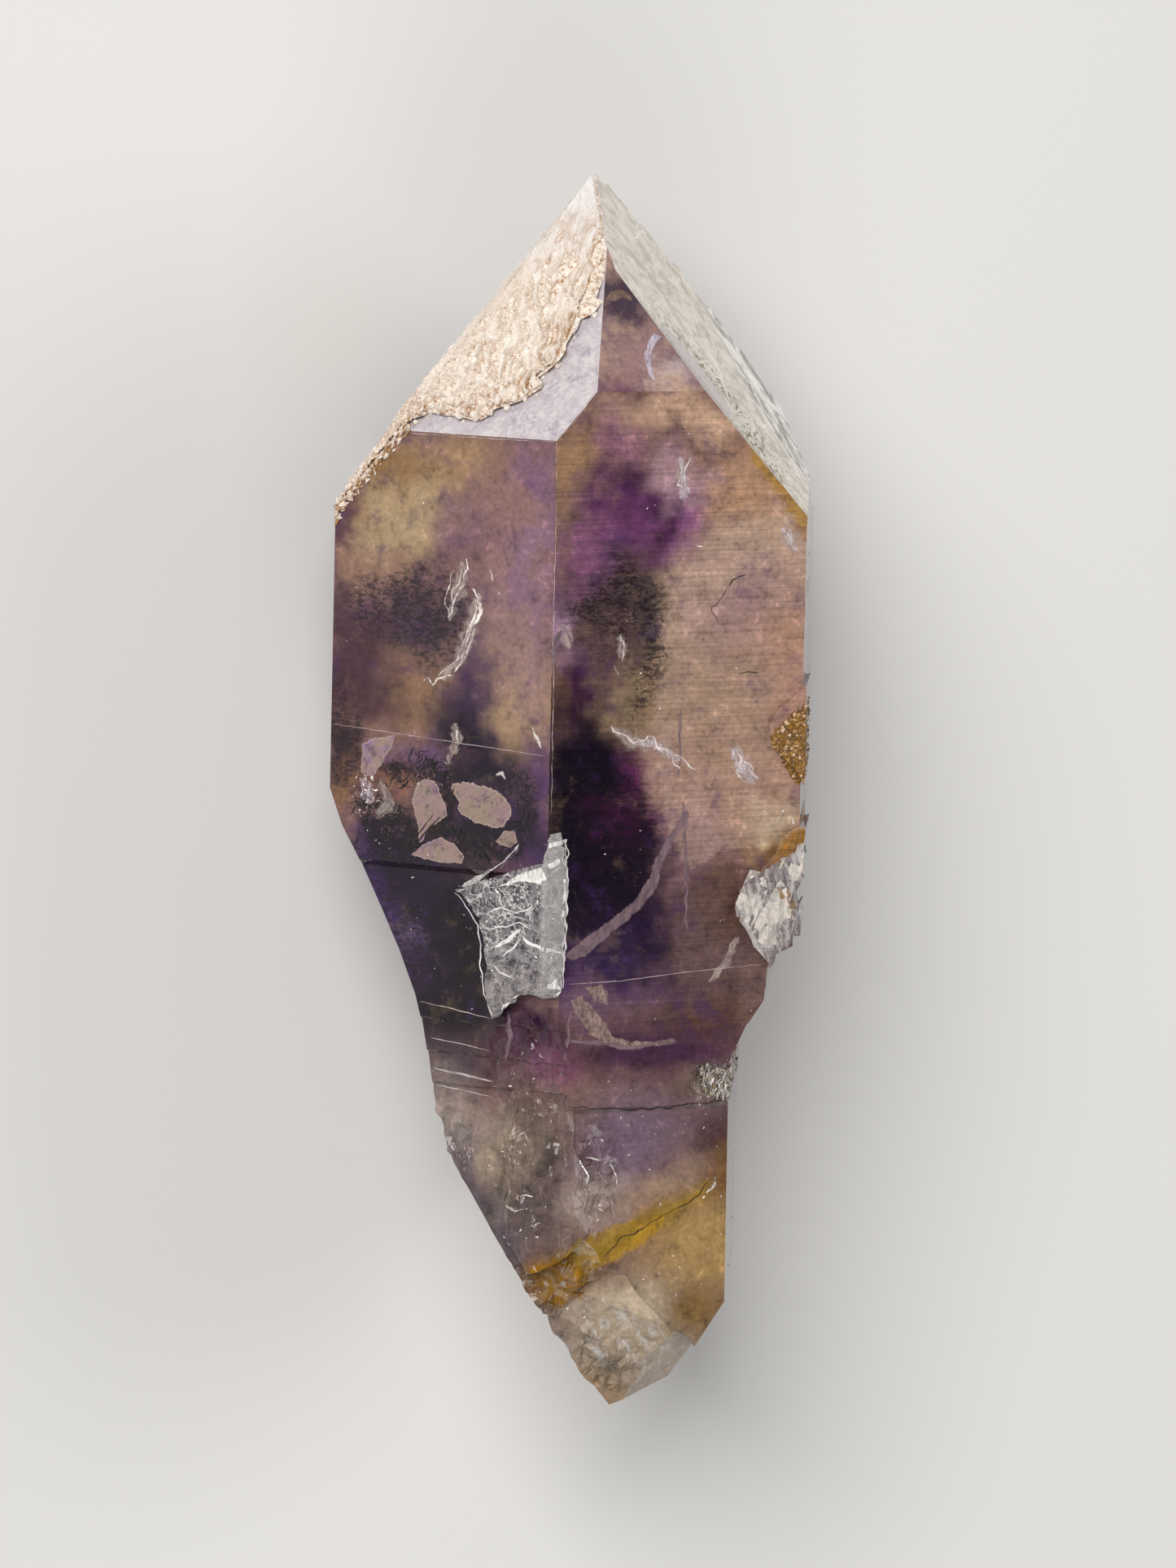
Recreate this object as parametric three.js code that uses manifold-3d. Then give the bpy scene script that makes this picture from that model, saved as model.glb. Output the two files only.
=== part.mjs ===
// A single amethyst crystal on its own: a six-sided quartz prism with a six-faced point, a narrower stem
// below it and a broken lower end. It lies on one of its back prism faces, with its point towards +Y.
//
// The crystal is worked out in its own frame, in millimetres: +Y up the c axis (the axis of growth), +Z out
// of the front towards the viewer and +X to the viewer's right. A face is told by its azimuth, in degrees
// from +Z towards +X, by its polar angle from the c axis, and by its distance from the origin.
import * as THREE from "three";
import { mergeVertices } from "three/addons/utils/BufferGeometryUtils.js";
import Module from "manifold-3d";

const wasm = await Module();
wasm.setup();

// Driving dimensions, in millimetres and degrees
const faceStep = 60; // between neighbouring prism faces
const frontRightAzimuth = 27; // the front right face, and what the crystal is turned by when it lies down
const rhombPolar = 51.8; // quartz's point faces, from the c axis
const beyond = 80; // past every surface of the crystal

// The six prism faces, by azimuth
const azimuth = {
  frontLeft: frontRightAzimuth - faceStep,
  frontRight: frontRightAzimuth,
  right: frontRightAzimuth + faceStep,
  backRight: frontRightAzimuth + 2 * faceStep,
  backLeft: frontRightAzimuth + 3 * faceStep,
  left: frontRightAzimuth - 2 * faceStep,
};
const faces = Object.keys(azimuth);

// Height up the c axis, then the distance from it of the front left, front right, right, back right, back
// left and left prism faces. The head keeps one section. Below it the left side draws in along a hollow
// curve and the right side steps in; the paired heights are ledges, where the surface breaks to a lower level.
const sections = [
  [beyond, 13.8, 13.14, 14.24, 12.5, 12.0, 14.56],
  [38.2, 13.8, 13.14, 14.24, 12.5, 12.0, 14.56],
  [36.0, 13.8, 13.14, 14.2, 12.5, 12.0, 13.75],
  [34.0, 13.8, 13.14, 13.9, 12.5, 12.0, 12.6],
  [33.6, 13.1, 13.14, 13.8, 12.5, 12.0, 12.45],
  [31.1, 13.05, 13.14, 13.2, 12.5, 12.0, 11.2],
  [28.6, 13.0, 13.14, 12.6, 12.3, 12.0, 10.0],
  [25.9, 12.95, 13.14, 12.35, 11.7, 12.0, 8.9],
  [24.6, 12.95, 13.14, 11.5, 11.4, 12.0, 8.55],
  [24.45, 12.8, 13.14, 11.35, 11.4, 12.0, 8.45],
  [22.55, 12.78, 13.14, 10.5, 10.9, 12.0, 8.1],
  [22.4, 12.6, 13.14, 10.45, 10.8, 11.95, 8.0],
  [20.6, 12.55, 13.12, 10.4, 10.4, 11.7, 7.75],
  [20.4, 12.25, 13.12, 10.4, 10.4, 11.65, 7.7],
  [19.7, 12.2, 13.1, 10.4, 10.2, 11.4, 7.65],
  [19.35, 12.05, 12.75, 10.35, 10.1, 11.2, 7.6],
  [16.6, 11.9, 12.7, 10.35, 9.6, 10.6, 7.5],
  [-2, 11.2, 12.6, 10.3, 7.6, 8.6, 4.0],
];

// The faces of the point: azimuth, polar angle and distance. The left and right ones are a little off the
// ideal angle, as on the real crystal.
const pointFaces = {
  frontLeft: [azimuth.frontLeft, rhombPolar, 48.19],
  frontRight: [azimuth.frontRight, rhombPolar, 49.48],
  right: [88.2, 50.8, 46.05],
  backRight: [azimuth.backRight, rhombPolar, 46.6],
  backLeft: [azimuth.backLeft, rhombPolar, 45.18],
  left: [-88.8, 53.4, 44.92],
};

// The frosted overgrowth on the right face of the point. Its sloping front ends on the right in an edge that
// drops in small teeth, then curves over a shoulder. Seen from the front, each tooth is given by its tip and
// by the foot of the facet below it, and the shoulder by the points that its facets run between.
const frostedFront = [59.6, 55.3, 44.51];
const frostedOuterAzimuth = 96;
const frostedTeeth = [
  { tip: [0.54, 75.95], foot: [1.1, 75.24] },
  { tip: [1.28, 75.26], foot: [1.93, 74.42] },
  { tip: [2.15, 74.3], foot: [3.11, 73.02] },
  { tip: [3.44, 72.81], foot: [5.26, 70.53] },
  { tip: [5.6, 70.4], foot: [6.71, 68.71] },
  { tip: [6.93, 68.59], foot: [7.47, 67.85] },
  { tip: [7.75, 67.82], foot: [8.96, 66.11] },
  { tip: [9.3, 65.85], foot: [10.3, 64.39] },
];
const frostedShoulder = [
  [10.3, 64.39],
  [12.21, 61.8],
  [12.9, 60.39],
  [13.96, 57.91],
  [14.6, 56.3],
  [14.78, 55.3],
];

// Growth grooves across the front right face: where each starts, its width and its depth
const grooves = [
  [57.6, 0.35, 0.05],
  [55.9, 0.9, 0.04],
  [52.3, 0.3, 0.06],
  [50.4, 1.3, 0.05],
  [46.2, 0.4, 0.07],
  [44.9, 0.3, 0.04],
  [41.6, 0.8, 0.06],
  [37.3, 0.35, 0.07],
  [36.2, 1.1, 0.05],
  [33.3, 0.4, 0.06],
  [31.9, 0.3, 0.08],
  [29.2, 0.7, 0.05],
  [27.0, 0.4, 0.07],
];

// The crust of tiny crystals on the left of the point: its lower edge from right to left, then round the
// outside of the crystal and back along the edge that it shares with the frosted face
const crustThickness = 0.3;
const sunk = 0.04; // how far a crust or plate keeps inside the faces that it doesn't cover
const crustOutline = [
  [1.5, 70.85],
  [0.85, 69.2],
  [0.72, 68.7],
  [1.15, 68.5],
  [0.6, 67.9],
  [-0.2, 67.45],
  [-0.8, 66.4],
  [-1.1, 65.5],
  [-1.55, 64.9],
  [-2.7, 63.95],
  [-2.5, 63.35],
  [-3.6, 62.6],
  [-5.25, 62.0],
  [-6.1, 61.3],
  [-7.8, 61.45],
  [-9.2, 61.6],
  [-10.45, 61.05],
  [-11.0, 60.2],
  [-15.2, 54.6],
  [-17, 56],
  [-8, 68],
  [0, 79],
  [0.75, 76],
];
const crustSheet = { centre: [-6, 66], size: [21, 29], parts: [30, 27], roughness: 0.16 };

// The plate of clear quartz that still bridges the front edge where the crystal narrows
const plateThickness = 0.2;
const plateOutline = [
  [-7.1, 32.7],
  [-6.35, 32.1],
  [-5.55, 31.1],
  [-5.25, 29.4],
  [-5.0, 28.2],
  [-5.15, 27.1],
  [-4.95, 25.9],
  [-4.65, 25.0],
  [-3.95, 25.65],
  [-2.95, 26.75],
  [-1.95, 26.8],
  [-0.7, 26.65],
  [-0.45, 27.0],
  [-0.4, 30.3],
  [-0.25, 33.3],
  [-0.3, 34.7],
  [-0.7, 36.7],
  [-1.3, 36.6],
  [-1.75, 34.8],
  [-2.65, 34.55],
  [-4.1, 33.9],
  [-5.1, 33.5],
];

// Iron-stained crust and shards of clear quartz along the right edge
const brownOutline = [
  [11.9, 42.2],
  [12.15, 43.4],
  [13.1, 44.4],
  [13.85, 45.1],
  [15.6, 45.4],
  [15.6, 38.6],
  [14.2, 38.9],
  [13.5, 40.1],
  [12.7, 40.9],
];
const shardOutline = [
  [10.0, 31.7],
  [10.55, 33.2],
  [11.5, 33.8],
  [13.2, 36.3],
  [15.2, 36.8],
  [15.2, 33],
  [14.4, 30],
  [12.6, 28.6],
  [12.2, 27.9],
  [11.5, 29.0],
  [11.05, 29.7],
  [10.45, 30.7],
];
const shards = [
  { at: [12.5, 31.0, 8.0], size: [1.3, 2.5, 1.0], lean: 14 },
  { at: [13.3, 33.8, 7.6], size: [1.0, 2.1, 0.9], lean: -14 },
  { at: [11.2, 32.2, 8.9], size: [0.9, 1.6, 0.75], lean: 26 },
  { at: [13.4, 31.2, 6.4], size: [0.95, 1.7, 1.4], lean: 6 },
];

// The broken lower end: facets of breakage, each an azimuth, a polar angle and a distance
const breakFacets = [
  [-95, 116.2, -1.7],
  [-95, 122.5, -3.4],
  [-90, 141, -2.3],
  [92, 122.8, 4.4],
  [90, 159, 0.6],
  [165, 118, 2.2],
  [-150, 122, 1.4],
];
// The lobe of clear quartz that stands proud of the stem's front edge below the plate
const lobeFaces = [
  [-29, 91.5, 12.3],
  [-2, 93, 13.6],
  [azimuth.frontRight, 90, 12.95],
  [-75, 90, 6.6],
];
const lobeOutline = [
  [-3.6, 25.9],
  [-4.4, 23.4],
  [-4.5, 20.8],
  [-4.35, 18.8],
  [-4.55, 17.2],
  [-4.45, 16.0],
  [-4.0, 14.1],
  [-3.75, 12.9],
  [-3.6, 11.5],
  [-2.2, 9.2],
  [0.3, 10.7],
  [1.6, 12.2],
  [1.7, 15.4],
  [0.5, 17.4],
  [0.45, 19.5],
  [0.75, 20.6],
  [-0.1, 23.4],
  [0.1, 26.2],
];
// The iron-stained break across the lower front, and the piece of it that stands proud at the very tip
const stainedBreak = [34, 100.2, 9.95];
const stainedBreakDeep = [6, 112, 8.3];
const tipOutline = [
  [-2.4, 6.1],
  [-0.4, 6.6],
  [0.45, 7.45],
  [1.55, 8.65],
  [2.85, 9.5],
  [3.85, 9.25],
  [5.15, 7.4],
  [6.2, 6.3],
  [8.2, 4.2],
  [8, -3],
  [-4, -3],
];
const tipFacets = [
  [12, 124, 6.6],
  [-38, 118, 4.9],
  [58, 127, 5.4],
];
// Shell-like hollows where flakes have come away
const hollows = [
  { at: [-8.2, 18.0, 13.4], size: [3.1, 5.2, 2.7], lean: 8 },
  { at: [-2.4, 8.3, 14.0], size: [2.6, 2.2, 2.6], lean: 30 },
  { at: [9.3, 21.2, 11.1], size: [2.0, 1.35, 1.5], lean: 4 },
  { at: [8.2, 10.2, 13.9], size: [3.6, 4.4, 3.6], lean: -30 },
  { at: [5.9, 1.6, 10.2], size: [2.4, 3.0, 2.2], lean: -38 },
  { at: [-9.0, 9.2, 3.0], size: [4.2, 5.4, 5.0], lean: 28 },
  { at: [7.6, 4.4, -9.4], size: [6.2, 7.0, 6.0], lean: -20 },
];

const facing = (azimuthDegrees, polarDegrees) =>
  new THREE.Vector3().setFromSphericalCoords(
    1,
    THREE.MathUtils.degToRad(polarDegrees),
    THREE.MathUtils.degToRad(azimuthDegrees),
  );

// A closed three.js geometry as a manifold-3d solid
function solidOf(geometry) {
  const bare = geometry.clone();
  bare.deleteAttribute("normal");
  bare.deleteAttribute("uv");
  const merged = mergeVertices(bare, 1e-4);
  return new wasm.Manifold(
    new wasm.Mesh({
      numProp: 3,
      vertProperties: new Float32Array(merged.attributes.position.array),
      triVerts: new Uint32Array(merged.index.array),
    }),
  );
}

// What lies outside a face: a box resting on its plane, large enough to take the whole crystal
function outside([azimuthDegrees, polarDegrees, distance], grownBy = 0) {
  const normal = facing(azimuthDegrees, polarDegrees);
  const box = new THREE.BoxGeometry(4 * beyond, 4 * beyond, 4 * beyond);
  box.translate(0, 0, 2 * beyond + distance + grownBy);
  box.applyQuaternion(new THREE.Quaternion().setFromUnitVectors(new THREE.Vector3(0, 0, 1), normal));
  return solidOf(box);
}

const cutBy = (body, planes) => planes.reduce((left, plane) => left.subtract(outside(plane)), body);

// Everything that an outline in the front view covers, from one depth to another
function covered(points, from = -beyond, to = beyond) {
  const shape = new THREE.Shape(points.map(([x, y]) => new THREE.Vector2(x, y)));
  const geometry = new THREE.ExtrudeGeometry(shape, { depth: to - from, bevelEnabled: false });
  geometry.translate(0, 0, from);
  return solidOf(geometry);
}

const below = (height) =>
  covered([
    [-beyond, height],
    [-beyond, -beyond],
    [beyond, -beyond],
    [beyond, height],
  ]);

// A steady stream of numbers from -1 to 1
function chance(seed) {
  let state = seed;
  return () => {
    state = (state * 16807) % 2147483647;
    return (2 * state) / 2147483647 - 1;
  };
}

// An outline with its sides broken up at a pitch and pushed to and fro, as the edge of a crust or a break is
function ragged(points, pitch, roughness, seed) {
  const next = chance(seed);
  return points.flatMap(([x, y], i) => {
    const [endX, endY] = points[(i + 1) % points.length];
    const length = Math.hypot(endX - x, endY - y);
    const steps = Math.max(1, Math.round(length / pitch));
    return Array.from({ length: steps }, (_, k) => {
      const push = k ? next() * roughness : 0;
      return [
        x + ((endX - x) * k) / steps + ((endY - y) / length) * push,
        y + ((endY - y) * k) / steps - ((endX - x) / length) * push,
      ];
    });
  });
}

// A small angular lump
function lump([x, y, z], [width, height, depth], leanDegrees, detail, roughness, seed) {
  const next = chance(seed);
  const geometry = mergeVertices(new THREE.IcosahedronGeometry(1, detail).deleteAttribute("normal")
    .deleteAttribute("uv"), 1e-4);
  const place = geometry.attributes.position;
  for (let i = 0; i < place.count; i++) {
    const swell = 1 + roughness * next();
    place.setXYZ(i, place.getX(i) * swell, place.getY(i) * swell, place.getZ(i) * swell);
  }
  geometry.scale(width, height, depth);
  geometry.rotateZ(THREE.MathUtils.degToRad(leanDegrees));
  geometry.translate(x, y, z);
  return solidOf(geometry);
}

// A thick sheet whose outer side is rough and lies off a face's plane
function roughSheet([azimuthDegrees, polarDegrees, distance], above, { centre, size, parts, roughness }, seed) {
  const thick = 12;
  const normal = facing(azimuthDegrees, polarDegrees);
  const geometry = new THREE.BoxGeometry(size[0], size[1], thick, parts[0], parts[1], 1);
  geometry.deleteAttribute("normal");
  geometry.deleteAttribute("uv");
  const sheet = mergeVertices(geometry, 1e-4);
  const place = sheet.attributes.position;
  const next = chance(seed);
  for (let i = 0; i < place.count; i++)
    if (place.getZ(i) > 0) place.setZ(i, place.getZ(i) + roughness * next());
  const [x, y] = centre;
  const z = (distance + above - normal.x * x - normal.y * y) / normal.z;
  sheet.translate(0, 0, -thick / 2);
  sheet.applyQuaternion(new THREE.Quaternion().setFromUnitVectors(new THREE.Vector3(0, 0, 1), normal));
  sheet.translate(x, y, z);
  return solidOf(sheet);
}

// The distances of the six faces from the axis at a height, between the sections above and below it
function sectionAt(height) {
  const lower = sections.findIndex(([y]) => y <= height);
  const [above, under] = [sections[lower - 1], sections[lower]];
  const share = (height - under[0]) / (above[0] - under[0]);
  return under.map((value, i) => value + (above[i] - value) * share);
}

// Each groove is four more sections, the middle two with the front right face set back
const grooveSections = () =>
  grooves.flatMap(([top, width, depth]) =>
    [0, 0.06, width - 0.06, width].map((down, i) => {
      const made = sectionAt(top - down);
      if (i === 1 || i === 2) made[2] -= depth;
      return made;
    }),
  );

// Where two neighbouring prism faces meet, in the X, Z plane
function corner(faceA, distanceA, faceB, distanceB) {
  const a = facing(azimuth[faceA], 90);
  const b = facing(azimuth[faceB], 90);
  const spread = a.x * b.z - a.z * b.x;
  return [(distanceA * b.z - distanceB * a.z) / spread, (distanceB * a.x - distanceA * b.x) / spread];
}

// The prism and stem, lofted through the sections from the top down, with some faces moved out
function column(grown = {}) {
  const rows = [...sections, ...grooveSections()].sort((a, b) => b[0] - a[0]);
  const n = faces.length;
  const positions = [];
  for (const [height, ...distances] of rows) {
    const moved = distances.map((distance, i) => distance + (grown[faces[i]] ?? grown.rest ?? 0));
    faces.forEach((face, i) => {
      const j = (i + 1) % n;
      const [x, z] = corner(face, moved[i], faces[j], moved[j]);
      positions.push(x, height, z);
    });
  }
  const index = [];
  for (let row = 0; row + 1 < rows.length; row++)
    for (let i = 0; i < n; i++) {
      const [a, b] = [row * n + i, row * n + ((i + 1) % n)];
      index.push(a, a + n, b, b, a + n, b + n);
    }
  const last = (rows.length - 1) * n;
  for (let i = 1; i + 1 < n; i++) {
    index.push(0, i, i + 1);
    index.push(last, last + i + 1, last + i);
  }
  const geometry = new THREE.BufferGeometry();
  geometry.setAttribute("position", new THREE.Float32BufferAttribute(positions, 3));
  geometry.setIndex(index);
  return solidOf(geometry);
}

// The column cut to its point, with some of the faces moved out
function pointed(body, { skip = [], grown = {} } = {}) {
  const used = Object.entries(pointFaces).filter(([face]) => !skip.includes(face));
  return used.reduce(
    (left, [face, plane]) => left.subtract(outside(plane, grown[face] ?? grown.rest ?? 0)),
    body,
  );
}

// The point of the frosted front face that is seen at x, y
function onFrostedFront([x, y]) {
  const [azimuthDegrees, polarDegrees, distance] = frostedFront;
  const normal = facing(azimuthDegrees, polarDegrees);
  return new THREE.Vector3(x, y, (distance - normal.x * x - normal.y * y) / normal.z);
}

// The facet behind the frosted face's edge that runs through two points of that edge
function frostedFacet(from, to) {
  const start = onFrostedFront(from);
  const run = onFrostedFront(to).sub(start);
  const outward = facing(frostedOuterAzimuth, 90);
  const polar = THREE.MathUtils.radToDeg(Math.atan2(-run.y, run.dot(outward)));
  return [frostedOuterAzimuth, polar, facing(frostedOuterAzimuth, polar).dot(start)];
}

// The column with its point, where the frosted overgrowth is what the right face's plane leaves standing
function head() {
  const steps = frostedTeeth.map(({ tip, foot }) =>
    below(tip[1]).subtract(outside(frostedFacet(tip, foot))),
  );
  const shoulder = frostedShoulder.slice(1).map((to, i) => frostedFacet(frostedShoulder[i], to));
  const overgrowth = cutBy(wasm.Manifold.union(steps), [frostedFront, ...shoulder]);
  return pointed(column(), { skip: ["right"] }).subtract(outside(pointFaces.right).subtract(overgrowth));
}

function crust() {
  const inside = column({ rest: -sunk });
  const grown = { left: crustThickness / 2, rest: -sunk };
  const body = pointed(inside, { skip: ["right", "frontLeft"], grown }).subtract(outside(frostedFront, -sunk));
  const sheet = roughSheet(pointFaces.frontLeft, crustThickness, crustSheet, 7);
  return body.intersect(sheet).intersect(covered(ragged(crustOutline, 0.6, 0.14, 11)));
}

// A patch of crust on the two faces by the right edge
function patch(outline, thickness, seed) {
  const grown = { frontRight: thickness, right: thickness, rest: -sunk };
  return column(grown).intersect(covered(ragged(outline, 0.5, 0.15, seed), 0, beyond));
}

function brokenEnd(body) {
  const sharpened = cutBy(body, breakFacets);
  const tip = covered(ragged(tipOutline, 1.1, 0.25, 5));
  const stained = outside(stainedBreak).add(outside(stainedBreakDeep)).intersect(below(19)).subtract(tip);
  const struck = hollows.map(({ at, size, lean }, k) => lump(at, size, lean, 2, 0.03, 61 + k));
  const tipCut = wasm.Manifold.union(tipFacets.map((facet) => outside(facet))).intersect(tip);
  return wasm.Manifold.difference([sharpened, stained, tipCut, ...struck]);
}

const plateFaces = [
  [azimuth.frontLeft, 90, sections[0][1] + plateThickness],
  [azimuth.frontRight, 90, sections[0][2] + plateThickness],
];
const lobe = cutBy(covered(ragged(lobeOutline, 0.8, 0.08, 47), 5, beyond), lobeFaces);
const plate = cutBy(covered(ragged(plateOutline, 0.5, 0.1, 17), 5, beyond), plateFaces);

const joined = wasm.Manifold.union([
  brokenEnd(head()),
  lobe,
  crust(),
  plate,
  patch(brownOutline, 0.22, 23),
  patch(shardOutline, 0.4, 31),
  ...shards.map(({ at, size, lean }, k) => lump(at, size, lean, 0, 0.14, 41 + k)),
]);
// Cutting the crust to its outline leaves loose specks: only the crystal itself is kept
const crystal = joined.decompose().reduce((kept, body) => (body.volume() > kept.volume() ? body : kept));

function geometryOf(solid) {
  const { vertProperties, triVerts } = solid.getMesh();
  const geometry = new THREE.BufferGeometry();
  geometry.setAttribute("position", new THREE.BufferAttribute(vertProperties, 3));
  geometry.setIndex(new THREE.BufferAttribute(triVerts, 1));
  geometry.computeVertexNormals();
  return geometry;
}

const amethyst = new THREE.MeshStandardMaterial({ color: 0x7a5f86, roughness: 0.15, metalness: 0 });
const mesh = new THREE.Mesh(geometryOf(crystal), amethyst);
mesh.name = "crystal";

const lying = new THREE.Group();
lying.add(mesh);
lying.rotation.y = THREE.MathUtils.degToRad(-frontRightAzimuth);

const part = new THREE.Group();
part.add(lying);
part.updateMatrixWorld(true);
const extent = new THREE.Box3().setFromObject(part, true);
const middle = extent.getCenter(new THREE.Vector3());
lying.position.set(-middle.x, -middle.y, -extent.min.z);

export default part;
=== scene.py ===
"""The amethyst crystal's looks: a violet and smoky quartz point with a druse crust and a frosted face on its
head, a clear plate across its front edge and an iron-stained break at its foot, lying on a pale floor."""

import math
from random import Random

import bmesh
import bpy
import numpy as np
from mathutils import Matrix, Vector, noise
from mathutils.bvhtree import BVHTree


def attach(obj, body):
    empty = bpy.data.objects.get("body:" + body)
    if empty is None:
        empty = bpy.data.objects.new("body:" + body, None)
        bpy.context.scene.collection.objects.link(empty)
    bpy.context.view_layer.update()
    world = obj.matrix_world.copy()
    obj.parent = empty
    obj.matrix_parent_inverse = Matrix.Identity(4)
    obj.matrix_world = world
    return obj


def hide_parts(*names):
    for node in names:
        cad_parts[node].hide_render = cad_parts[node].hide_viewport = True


bl_info = {
    "name": "Amethyst crystal",
    "version": (1, 0, 0),
    "blender": (4, 5, 0),
    "location": "3D View > Sidebar > Crystal",
    "description": "Dresses the solid of a single amethyst crystal",
    "category": "Object",
}

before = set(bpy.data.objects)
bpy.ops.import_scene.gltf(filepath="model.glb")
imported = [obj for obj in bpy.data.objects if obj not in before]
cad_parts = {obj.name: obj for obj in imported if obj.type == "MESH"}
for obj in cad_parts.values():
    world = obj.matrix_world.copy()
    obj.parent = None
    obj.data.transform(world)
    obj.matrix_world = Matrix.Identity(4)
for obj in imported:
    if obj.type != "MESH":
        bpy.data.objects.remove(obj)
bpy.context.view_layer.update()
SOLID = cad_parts["crystal"]
# Without a seed, noise_vector differs from run to run
noise.seed_set(3)

# The crystal is described as it grew, in millimetres: +Y up the axis of growth, +X to the right and +Z out of
# its front. It lies turned about Y, so that one of its back faces is down.
MM = 0.001
TURN = Matrix.Rotation(math.radians(-27), 3, "Y")
TURN_BACK = TURN.inverted()
SHIFT = Vector((0.46765, -38.23069, 12.0))


def lying(point):
    """A point of the growing crystal, in mm, where it is on the lying one, in metres."""
    return (TURN @ Vector(point) + SHIFT) * MM


def grown(point):
    """A point of the lying crystal, in metres, back in the growing one, in mm."""
    return TURN_BACK @ (Vector(point) / MM - SHIFT)


def facing(azimuth, polar=90.0):
    """The way out of a face, by azimuth from the front and angle from the growth axis."""
    a, p = math.radians(azimuth), math.radians(polar)
    return Vector((math.sin(a) * math.sin(p), math.cos(p), math.cos(a) * math.sin(p)))


FRONT_EDGE = -1.4
UPPER_LEFT = facing(-33, 51.8), 48.19
UPPER_RIGHT = facing(27, 51.8), 49.48
FROSTED = facing(59.6, 55.3), 44.51
OUTER_LEFT = facing(-88.8, 53.4), 44.92
OUTER_RIGHT = facing(88.2, 50.8), 46.05
PRISM_LEFT, PRISM_RIGHT = 13.8, 13.14
PRISM = [facing(azimuth) for azimuth in (-33, 27, 87, 147, -153, -93)]

CRUST = [
    (1.5, 70.85), (0.85, 69.2), (0.72, 68.7), (1.15, 68.5), (0.6, 67.9), (-0.2, 67.45), (-0.8, 66.4),
    (-1.1, 65.5), (-1.55, 64.9), (-2.7, 63.95), (-2.5, 63.35), (-3.6, 62.6), (-5.25, 62.0), (-6.1, 61.3),
    (-7.8, 61.45), (-9.2, 61.6), (-10.45, 61.05), (-11.0, 60.2), (-15.2, 54.6), (-17, 56), (-8, 68), (0, 79),
    (0.75, 76),
]
PLATE = [
    (-7.1, 32.7), (-6.35, 32.1), (-5.55, 31.1), (-5.25, 29.4), (-5.0, 28.2), (-5.15, 27.1), (-4.95, 25.9),
    (-4.65, 25.0), (-3.95, 25.65), (-2.95, 26.75), (-1.95, 26.8), (-0.7, 26.65), (-0.45, 27.0), (-0.4, 30.3),
    (-0.25, 33.3), (-0.3, 34.7), (-0.7, 36.7), (-1.3, 36.6), (-1.75, 34.8), (-2.65, 34.55), (-4.1, 33.9),
    (-5.1, 33.5),
]
BROWN = [
    (11.88, 41.97), (12.26, 42.56), (12.90, 43.09), (13.34, 43.63), (13.88, 43.97), (14.78, 43.94), (14.85, 40.82), (14.32, 39.83), (13.99, 39.14), (13.58, 39.35), (13.12, 40.07),
    (12.60, 40.89), (12.14, 41.36),
]
OUTER_EDGE = [(0.3, 77.6), (-3.96, 69.83), (-9.57, 63.65), (-13.70, 58.27)]
RIM = [(-10.2, 61.9), (-10.4, 60.4), (-14.45, 55.2), (-14.9, 54.2), (-15.6, 54.4), (-15.6, 57), (-11.4, 62.4)]
CAVITY = [(7.99, 21.82), (8.73, 22.20), (9.62, 22.22), (10.38, 22.05), (10.57, 20.13), (9.37, 20.02), (8.47, 20.40), (8.05, 21.17)]
SHARDS = [
    (10.0, 31.7), (10.55, 33.2), (11.5, 33.8), (13.4, 34.9), (14.2, 35.6), (15.2, 35.8), (15.2, 33), (14.4, 30),
    (12.6, 28.6), (12.2, 27.9), (11.5, 29.0), (11.05, 29.7), (10.45, 30.7),
]

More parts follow.
